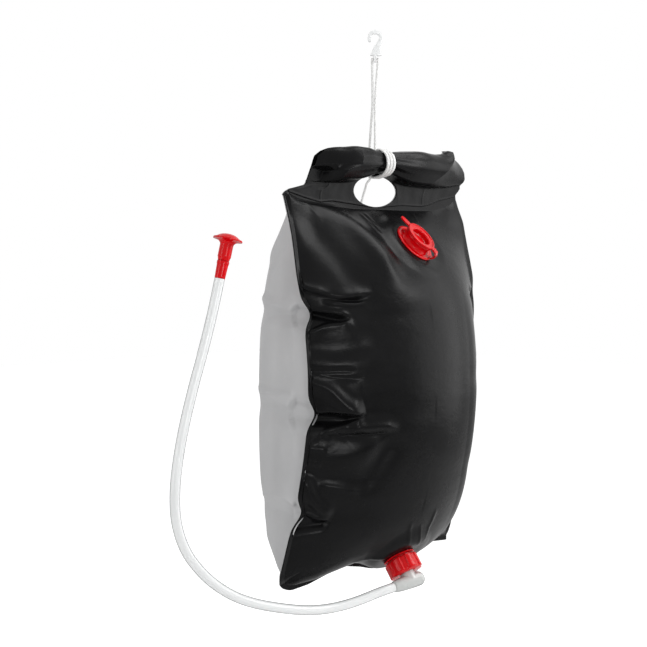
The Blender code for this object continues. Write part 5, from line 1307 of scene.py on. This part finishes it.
def build_lid(neck_top):
    low = neck_top + FIT_GAP
    top = low + LID_THICK
    plug_top_r = FILLER_BORE_D / 2 - FIT_GAP
    plug_low_r = plug_top_r - PLUG_TAPER
    cup_r = plug_low_r - PLUG_WALL
    lid_r = LID_D / 2
    floor = low - PLUG_DEEP + PLUG_WALL
    rim = top + LID_RIM_TALL
    profile = [(cup_r * share, floor + rise) for share, rise in cup_floor_rise]
    profile += stepped(cup_r, top, cup_edge_steps)
    profile += [(lid_r - LID_RIM_W, top), (lid_r - LID_RIM_W * RIM_TOP_SHARES[0], rim),
                (lid_r - LID_RIM_W * RIM_TOP_SHARES[1], rim), (lid_r, top + LID_RIM_TALL / 2), (lid_r, low),
                (plug_top_r, low), (plug_low_r, low - PLUG_DEEP), (0.0, low - PLUG_DEEP)]
    mesh = turned("filler_cap", rounded(profile, MOULD_EDGE_R, closed=False))
    cap = new_piece("filler_cap", mesh, RED, "lid", ["filler_lid"], FILLER_FRAME)
    height = low + LID_THICK / 2
    root, end, round_r = lid_r - LID_RIM_W / 2, lid_r + TAB_LONG, TAB_W / 2 * TAB_ROUND_SHARE
    tab = [(-root, -TAB_W / 2), (-root, TAB_W / 2)]
    tab += arc_points(round_r - end, 0.0, round_r, math.pi / 2, math.pi * 3 / 2, TAB_STEPS)
    tab_place = FILLER_FRAME @ Matrix.Translation((0, 0, height))
    cut_by(cap, outline_mesh("tab", tab, TAB_THICK), tab_place, "UNION")
    hinge_x = lid_r + LID_HINGE_OUT
    half = LID_KNUCKLE_R * LUG_HALF_SHARE
    lug = arc_points(0.0, 0.0, LID_KNUCKLE_R, LUG_ANGLE, -LUG_ANGLE, LUG_STEPS)
    lug = [(root - hinge_x, half)] + lug + [(root - hinge_x, -half)]
    side_on = FILLER_FRAME @ Matrix.Translation((hinge_x, 0, height)) @ Matrix.Rotation(math.pi / 2, 4, "X")
    cut_by(cap, outline_mesh("lug", lug, STRAP_W), side_on, "UNION")
    soften(cap, LID_EDGE_R, LID_BEVEL_STEPS)


def build_strap(foot_z, neck_top):
    hinge_x = LID_D / 2 + LID_HINGE_OUT
    hinge_z = neck_top + FIT_GAP + LID_THICK / 2
    foot_x, foot = FILLER_FLANGE_D / 2 - STRAP_THICK, foot_z + FIT_GAP
    stop = LID_KNUCKLE_R + FIT_GAP
    end_x, end_z = hinge_x + stop * math.cos(STRAP_LEAD), hinge_z + stop * math.sin(STRAP_LEAD)
    bow = hinge_x + STRAP_BOW
    low, middle, high = [foot + (hinge_z - foot) * share for share in strap_rise_shares]
    side = [(foot_x - STRAP_THICK, foot + STRAP_THICK / 2), (foot_x + STRAP_THICK, foot + STRAP_THICK / 2),
            (bow - STRAP_THICK, low), (bow, middle), (bow - STRAP_THICK, high),
            (end_x + STRAP_THICK, (end_z + hinge_z) / 2), (end_x, end_z)]
    way = np.array(flat_route(side, STRAP_STEP))
    along = np.gradient(way, axis=0)
    along /= np.linalg.norm(along, axis=1)[:, None]
    off = np.stack([along[:, 1], -along[:, 0]], -1) * STRAP_THICK / 2
    outline = [tuple(p) for p in way + off] + [tuple(p) for p in (way - off)[::-1]]
    strap = new_piece("filler_hinge_strap", outline_mesh("filler_hinge_strap", outline, STRAP_W), RED, "bag",
                      ["filler_strap"], FILLER_FRAME @ Matrix.Rotation(math.pi / 2, 4, "X"))
    soften(strap, STRAP_EDGE_R)


# Outlet, in its own frame: +Z out of the bag along the outlet axis
SPOUT_FLANGE_HIDDEN = 0.0032   # the film is drawn over the flange's edge
SPOUT_EDGE_R = 0.0006
NUT_STEPS = 256
NUT_RIB_SPAN = (-0.45, 0.15)   # a rib rises over this span of the wave round the nut
NUT_LIP_W, NUT_LIP_TALL, NUT_LIP_DROP = 0.0012, 0.0004, 0.0006
NUT_TOP_RIB, NUT_LOW_RIB = 0.2, 0.6    # what is left of the ribs on the nut's end edges
nut_edge_shares = ((0.0, -1.2), (0.35, -0.5), (1.0, 0.0), (2.0, 0.0))
ELBOW_END_R = 0.0012
elbow_collar_step, elbow_shoulder_step = (0.0010, -0.0006), (-0.0008, -0.0090)
ELBOW_DOME_STEPS, ELBOW_DOME_SWELL, ELBOW_DOME_POWER = 16, 1.7, 0.9
BORE_STEPS = 64


def build_outlet():
    face = FILM + FIT_GAP
    end = FILM + SPOUT_TALL
    deck = face + SPOUT_FLANGE_THICK
    flange_r, neck_r, bore_r = SPOUT_FLANGE_D / 2 - SPOUT_FLANGE_HIDDEN, SPOUT_D / 2, SPOUT_BORE_D / 2
    profile = [(bore_r, end), (neck_r, end), (neck_r, deck), (flange_r, deck), (flange_r, face),
               (neck_r, face), (neck_r, -SPOUT_DEEP), (bore_r, -SPOUT_DEEP)]
    mesh = turned("outlet_base", rounded(profile, SPOUT_EDGE_R))
    new_piece("outlet_base", mesh, RED, "bag", ["outlet_spout"], OUTLET_FRAME)
    build_nut()
    build_elbow()


def build_nut():
    start = FILM + NUT_START
    end = start + NUT_TALL
    hole_r, thread_r = ELBOW_NECK_D / 2 + FIT_GAP, SPOUT_D / 2 + FIT_GAP
    shoulder = end - NUT_END_WALL
    groove_r = NUT_GROOVE_D / 2
    lip_r = groove_r - NUT_LIP_W
    a = np.linspace(0, math.tau, NUT_STEPS, endpoint=False)
    rib = (NUT_RIB_D / 2 - groove_r) * rising(np.cos(NUT_RIBS * a), *NUT_RIB_SPAN)
    edge = [(NUT_EDGE * drop, NUT_EDGE * shrink) for drop, shrink in nut_edge_shares]
    rings = [(thread_r, shoulder), (hole_r, shoulder), (hole_r, end), (lip_r - NUT_LIP_W, end),
             (lip_r, end - NUT_LIP_TALL)]
    for drop, shrink in edge:
        full = 1.0 if drop > 0 else NUT_TOP_RIB
        rings.append((groove_r + rib * full + shrink, end - NUT_LIP_DROP - drop))
    for drop, shrink in edge[::-1]:
        full = 1.0 if drop > 0 else NUT_LOW_RIB
        rings.append((groove_r + rib * full + shrink, start + drop))
    rings.append((thread_r, start))
    verts = [np.stack([r * np.cos(a), r * np.sin(a), np.full(NUT_STEPS, z)], -1) for r, z in rings]
    faces = quads_of(len(rings), NUT_STEPS, wrap_rows=True, wrap_across=True)
    mesh = merged(mesh_from("ribbed_nut", np.vstack(verts), faces))
    mesh.set_sharp_from_angle(angle=SHARP_EDGE)
    new_piece("ribbed_nut", mesh, RED, "nut", ["outlet_nut"], OUTLET_FRAME)


def build_elbow():
    flange_low = FILM + SPOUT_TALL + SEAL_THICK + FIT_GAP * 2
    flange_top = flange_low + ELBOW_FLANGE_THICK
    axis_z = FILM + ELBOW_AXIS_DROP
    flange_r, neck_r = SPOUT_D / 2 - FIT_GAP, ELBOW_NECK_D / 2
    profile = [(0.0, axis_z), (neck_r, axis_z), (neck_r, flange_top), (flange_r, flange_top),
               (flange_r, flange_low), (0.0, flange_low)]
    elbow = new_piece("milky_elbow", turned("milky_elbow", profile), MILKY_ELBOW, "hose_arm",
                      ["outlet_elbow"], OUTLET_FRAME)
    hose_end, closed_end = ELBOW_HOSE_SIDE, -ELBOW_CLOSED_SIDE
    barrel_r, hose_r, spigot_r = ELBOW_BARREL_D / 2, HOSE_D / 2, HOSE_BORE_D / 2 - FIT_GAP
    shoulder = [(hose_r, hose_end)] + stepped(hose_r, hose_end, [elbow_collar_step])
    shoulder += stepped(barrel_r, hose_end, [elbow_shoulder_step]) + [(barrel_r, 0.0)]
    profile = [(0.0, hose_end + SPIGOT_LONG), (spigot_r, hose_end + SPIGOT_LONG), (spigot_r, hose_end)]
    profile += rounded(shoulder, ELBOW_END_R, closed=False)
    for k in range(ELBOW_DOME_STEPS + 1):
        a = math.pi / 2 * k / ELBOW_DOME_STEPS
        profile.append((barrel_r * math.cos(a) ** ELBOW_DOME_POWER,
                        closed_end + ELBOW_DOME_TALL * ELBOW_DOME_SWELL * (1 - math.sin(a))))
    cut_by(elbow, turned("barrel", profile), BARREL_FRAME, "UNION")
    low, bore_r, room_r = flange_low - ELBOW_WALL, ELBOW_NECK_BORE_D / 2, barrel_r - ELBOW_WALL
    neck_bore = [(0.0, axis_z), (bore_r, axis_z), (bore_r, low), (0.0, low)]
    barrel_bore = [(0.0, hose_end + SPIGOT_LONG * 2), (SPIGOT_BORE_R, hose_end + SPIGOT_LONG * 2),
                   (SPIGOT_BORE_R, hose_end - ELBOW_WALL), (room_r, hose_end - ELBOW_WALL * 2),
                   (room_r, closed_end + barrel_r), (0.0, closed_end + ELBOW_WALL * 2)]
    cut_by(elbow, turned("neck_bore", neck_bore, BORE_STEPS), OUTLET_FRAME)
    cut_by(elbow, turned("barrel_bore", barrel_bore, BORE_STEPS), BARREL_FRAME)


# Shower head
PLATE_DOME, PLATE_DOME_POWER = 0.0036, 2.5     # the perforated plate bulges out of the rose
ROSE_EDGE_R = 0.0004
ROSE_FLARE_STEPS = 24
FUNNEL_START = 1.5         # ledge widths inwards from the cup at which the funnel begins
# Steps of the outlines, out and up: the body's top, and the rose's barrel and collar
body_top_steps = ((0.0, 0.0), (0.0, -0.0032), (-0.0004, -0.0038))
barrel_steps, collar_steps = ((0.0, 0.0042), (-0.0005, 0.0036)), ((0.0, 0.0004), (-0.0004, 0.0))


def dome_plate():
    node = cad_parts["rose_plate"]
    mesh = node.data.copy()
    mesh.materials.clear()
    back = HEAD_FRAME.inverted() @ node.matrix_world
    places = [back @ vertex.co for vertex in mesh.vertices]
    reach = max(math.hypot(p.x, p.y) for p in places)
    for vertex, place in zip(mesh.vertices, places):
        place.z += PLATE_DOME * (1 - (math.hypot(place.x, place.y) / reach) ** PLATE_DOME_POWER)
        vertex.co = place
    return new_piece("head_plate", mesh, RED, "rose", ["rose_plate"], HEAD_FRAME)


def build_body():
    low_r, bore_r, spigot_r = HEAD_BODY_LOW_D / 2, HEAD_BORE_D / 2, HOSE_BORE_D / 2 - FIT_GAP
    profile = [(bore_r, HEAD_BODY_TALL)] + stepped(HEAD_BODY_TOP_D / 2, HEAD_BODY_TALL, body_top_steps)
    profile += [(low_r, 0.0), (spigot_r, 0.0), (spigot_r, -SPIGOT_LONG), (SPIGOT_BORE_R, -SPIGOT_LONG),
                (SPIGOT_BORE_R, HEAD_FLOOR), (bore_r, HEAD_FLOOR)]
    mesh = turned("head_body", rounded(profile, MOULD_EDGE_R))
    return new_piece("head_body", mesh, RED, "hose_arm", ["shower_body"], HEAD_FRAME)


def build_rose():
    seat = HEAD_BODY_TALL + FIT_GAP
    low = seat - ROSE_STEM_LONG
    stem_r, water_r, barrel_r, rose_r = ROSE_STEM_D / 2, ROSE_STEM_BORE_D / 2, ROSE_BARREL_D / 2, ROSE_D / 2
    cup_r = rose_r - ROSE_WALL
    rim = seat + ROSE_TALL
    flare, flare_w, ledge = rim - ROSE_RIM_TALL, rose_r - barrel_r, rim - ROSE_LEDGE_DEEP
    profile = [(cup_r, rim), (rose_r - ROSE_WALL / 3, rim), (rose_r, rim - ROSE_RIM_TALL / 3),
               (rose_r, flare)]
    funnel = [(cup_r, ledge), (cup_r - ROSE_LEDGE_W, ledge)]
    for k in range(1, ROSE_FLARE_STEPS + 1):
        a = math.pi / 2 * k / ROSE_FLARE_STEPS
        r, z = rose_r - flare_w * math.sin(a), flare - flare_w * ROSE_FLARE_SHARE * (1 - math.cos(a))
        profile.append((r, z))
        if r - ROSE_WALL < cup_r - ROSE_LEDGE_W * FUNNEL_START:
            funnel.append((r - ROSE_WALL, z + ROSE_WALL))
    profile += stepped(barrel_r, seat, barrel_steps) + stepped(ROSE_COLLAR_D / 2, seat, collar_steps)
    profile += [(stem_r, seat), (stem_r, low), (water_r, low), (water_r, funnel[-1][1] - ROSE_WALL)]
    mesh = turned("head_rose", rounded(profile + funnel[::-1], ROSE_EDGE_R))
    return new_piece("head_rose", mesh, RED, "rose", ["shower_rose", "shower_seal"], HEAD_FRAME)


# Floor, world and lamps
FLOOR_Z, FLOOR_HALF_W = -1.2, 9.0
LAMP_AIM = Vector((0.0, 0.0, -0.40))
sky_levels = ((0.0, 0.22), (0.42, 0.26), (0.62, 0.42), (1.0, 0.62))    # light from straight below to above
# Each lamp's place, its width and height, and its power in watts
lamps = {
    "key_softbox": ((1.1, -1.6, 0.9), (0.7, 0.9), 18),
    "left_softbox": ((-2.1, 0.3, 0.1), (0.9, 1.6), 15),
    "fold_softbox": ((-0.85, -2.0, -0.30), (0.5, 0.5), 10),
    "right_softbox": ((1.65, -1.25, 0.0), (1.7, 1.8), 20),
    "top_softbox": ((0.8, -0.6, 1.2), (0.9, 0.9), 15),
}


def build_stage():
    mesh = bpy.data.meshes.new("floor")
    corners = [(x * FLOOR_HALF_W, y * FLOOR_HALF_W, FLOOR_Z) for x, y in ((-1, -1), (1, -1), (1, 1), (-1, 1))]
    mesh.from_pydata(corners, [], [(0, 1, 2, 3)])
    floor = bpy.data.objects.new("floor", mesh)
    bpy.context.scene.collection.objects.link(floor)
    nodes = Nodes("floor_paper")
    nodes.clouded(nodes.noise(scale=3, detail=2.0), dark=(0.86, 0.86, 0.86), light=(0.88, 0.88, 0.88))
    nodes.set(Roughness=0.9, Emission_Color=(1, 1, 1, 1))
    seen = nodes.add("ShaderNodeLightPath").outputs["Is Camera Ray"]
    glow = nodes.between(seen, low=0.0, high=0.6, start=0.0, stop=1.0)
    nodes.join(glow, nodes.shader.inputs["Emission Strength"])
    mesh.materials.append(nodes.material)


def build_world():
    """Plain white where the camera looks, through plastic and in gloss too, and graded light elsewhere."""
    world = bpy.data.worlds.new("studio")
    bpy.context.scene.world = world
    world.use_nodes = True
    tree = world.node_tree
    tree.nodes.clear()
    join = tree.links.new
    split = add_node(tree, "ShaderNodeSeparateXYZ")
    join(add_node(tree, "ShaderNodeTexCoord").outputs["Generated"], split.inputs["Vector"])
    height = add_node(tree, "ShaderNodeMapRange", From_Min=-1.0)
    join(split.outputs["Z"], height.inputs["Value"])
    ramp = add_node(tree, "ShaderNodeValToRGB")
    set_stops(ramp, [(at, (level, level, level)) for at, level in sky_levels])
    join(height.outputs["Result"], ramp.inputs["Fac"])
    light = add_node(tree, "ShaderNodeBackground")
    join(ramp.outputs["Color"], light.inputs["Color"])
    white = add_node(tree, "ShaderNodeBackground", Color=(1, 1, 1, 1))
    rays = add_node(tree, "ShaderNodeLightPath").outputs
    seen = rays["Is Camera Ray"]
    for kind in ("Is Transmission Ray", "Is Glossy Ray"):
        either = add_node(tree, "ShaderNodeMath")
        either.operation = "MAXIMUM"
        join(seen, either.inputs[0])
        join(rays[kind], either.inputs[1])
        seen = either.outputs["Value"]
    mix = add_node(tree, "ShaderNodeMixShader")
    for output, target in ((seen, "Fac"), (light.outputs["Background"], 1), (white.outputs["Background"], 2)):
        join(output, mix.inputs[target])
    join(mix.outputs["Shader"], add_node(tree, "ShaderNodeOutputWorld").inputs["Surface"])


def add_lamp(name, place, size, power):
    data = bpy.data.lights.new(name, "AREA")
    data.shape = "RECTANGLE"
    data.size, data.size_y = size
    data.energy = power
    lamp = bpy.data.objects.new(name, data)
    bpy.context.scene.collection.objects.link(lamp)
    aim = LAMP_AIM - Vector(place)
    lamp.matrix_world = Matrix.Translation(place) @ aim.to_track_quat("-Z", "Y").to_matrix().to_4x4()
    lamp.visible_camera = False


bpy.context.scene.view_settings.view_transform = "Standard"
build_camera()

# Places of the cord, the fittings and the shower head
HOOK_ALONG = Vector((math.cos(HOOK_TURN), math.sin(HOOK_TURN), 0.0))
VIEW_BACK = Vector((math.sin(HOOK_TURN), -math.cos(HOOK_TURN), 0.0))
EYE = Vector((0.0, 0.0, -HOOK_SHANK_LEN - HOOK_EYE_DROP))
WRAP_POINTS = wrap_points()
KNOT_PLACE = Vector((0.0, WRAP_POINTS[0].y + CORD_D / 2 + KNOT_R + CORD_SEAT_GAP, WRAP_POINTS[0].z))
TAIL_DIRECTION = Vector((-0.45, 0.88, -0.10)).normalized()
TAIL_KNOT_PLACE = Vector((-0.0270, 0.0210, -0.2092))
filler_t = (BAG_TOP_Z - FILLER_Z) / BAG_TALL
filler_u = FILLER_X / float(half_width(1.0, filler_t))
FILLER_SEAT = Vector(film_grid(-1, np.array([filler_u]), np.array([filler_t]))[0])
slope_down = -(Vector((0, 0, 1)) - FILLER_LEAN * FILLER_LEAN.z).normalized()
FILLER_FRAME = frame_at(FILLER_SEAT, FILLER_LEAN, Matrix.Rotation(TAB_TURN, 3, FILLER_LEAN) @ slope_down)
OUTLET_SEAT = Vector((0.0, OUTLET_Y, OUTLET_Z))
barrel_towards = Matrix.Rotation(ELBOW_TURN, 3, OUTLET_AXIS) @ Vector((-1, 0, 0))
OUTLET_FRAME = frame_at(OUTLET_SEAT, OUTLET_AXIS, barrel_towards)
barrel_middle = OUTLET_SEAT + OUTLET_AXIS * (FILM + ELBOW_AXIS_DROP)
BARREL_FRAME = frame_at(barrel_middle, barrel_towards, OUTLET_AXIS)
coarse_hose = smooth_route(hose_points(), HOSE_STEP)
head_axis = Vector(coarse_hose[-1] - coarse_hose[-3]).normalized()
HEAD_FRAME = frame_at(Vector(coarse_hose[-1]) + head_axis * FIT_GAP, head_axis, (0, -1, 0))

BLACK_FILM = film_material("black_film", dark=(0.003, 0.003, 0.0032), light=(0.005, 0.005, 0.0053),
                           rough_low=0.23, rough_high=0.33, gloss=0.08)
GREY_FILM = film_material("grey_film", dark=(0.40, 0.40, 0.405), light=(0.45, 0.45, 0.455),
                          rough_low=0.50, rough_high=0.62, gloss=0.25)
RED = red_material()
# Milky plastics: middle is their own colour, edge is the painted shade along walls seen edge-on
MILKY_HOSE = milky_material("milky_hose", middle=(0.70, 0.71, 0.71), edge=(0.20, 0.21, 0.21),
                            rough_low=0.187, rough_high=0.253)
MILKY_ELBOW = milky_material("milky_elbow", middle=(0.46, 0.47, 0.46), edge=(0.24, 0.25, 0.24),
                             rough_low=0.255, rough_high=0.345)
MILKY_HOOK = milky_material("milky_hook", middle=(0.78, 0.79, 0.79), edge=(0.52, 0.53, 0.53),
                            rough_low=0.2125, rough_high=0.2875)
WHITE_CORD = cord_material()
ROD = plain_material("rod_plastic", dark=(0.495, 0.495, 0.477), light=(0.55, 0.55, 0.53),
                     rough_low=0.45, rough_high=0.55)
RUBBER = plain_material("seal_rubber", dark=(0.027, 0.027, 0.027), light=(0.03, 0.03, 0.03),
                        rough_low=0.63, rough_high=0.77)

build_cords()
build_hose([build_body(), build_rose(), dome_plate()])
sheet_piece("front_sheet", -1, FRONT_COLUMNS, FRONT_ROWS, front_creases, FRONT_ARC_W, BLACK_FILM,
            ["front_panel"])
sheet_piece("rear_sheet", 1, REAR_COLUMNS, REAR_ROWS, rear_creases, REAR_ARC_W, GREY_FILM, ["rear_panel"])
build_sleeve()
build_rod()
build_hook()
build_filler()
build_outlet()
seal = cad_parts["outlet_seal"].data
seal.materials.clear()
seal.materials.append(RUBBER)
build_stage()
build_world()
for name, (place, size, power) in lamps.items():
    add_lamp(name, place, size, power)
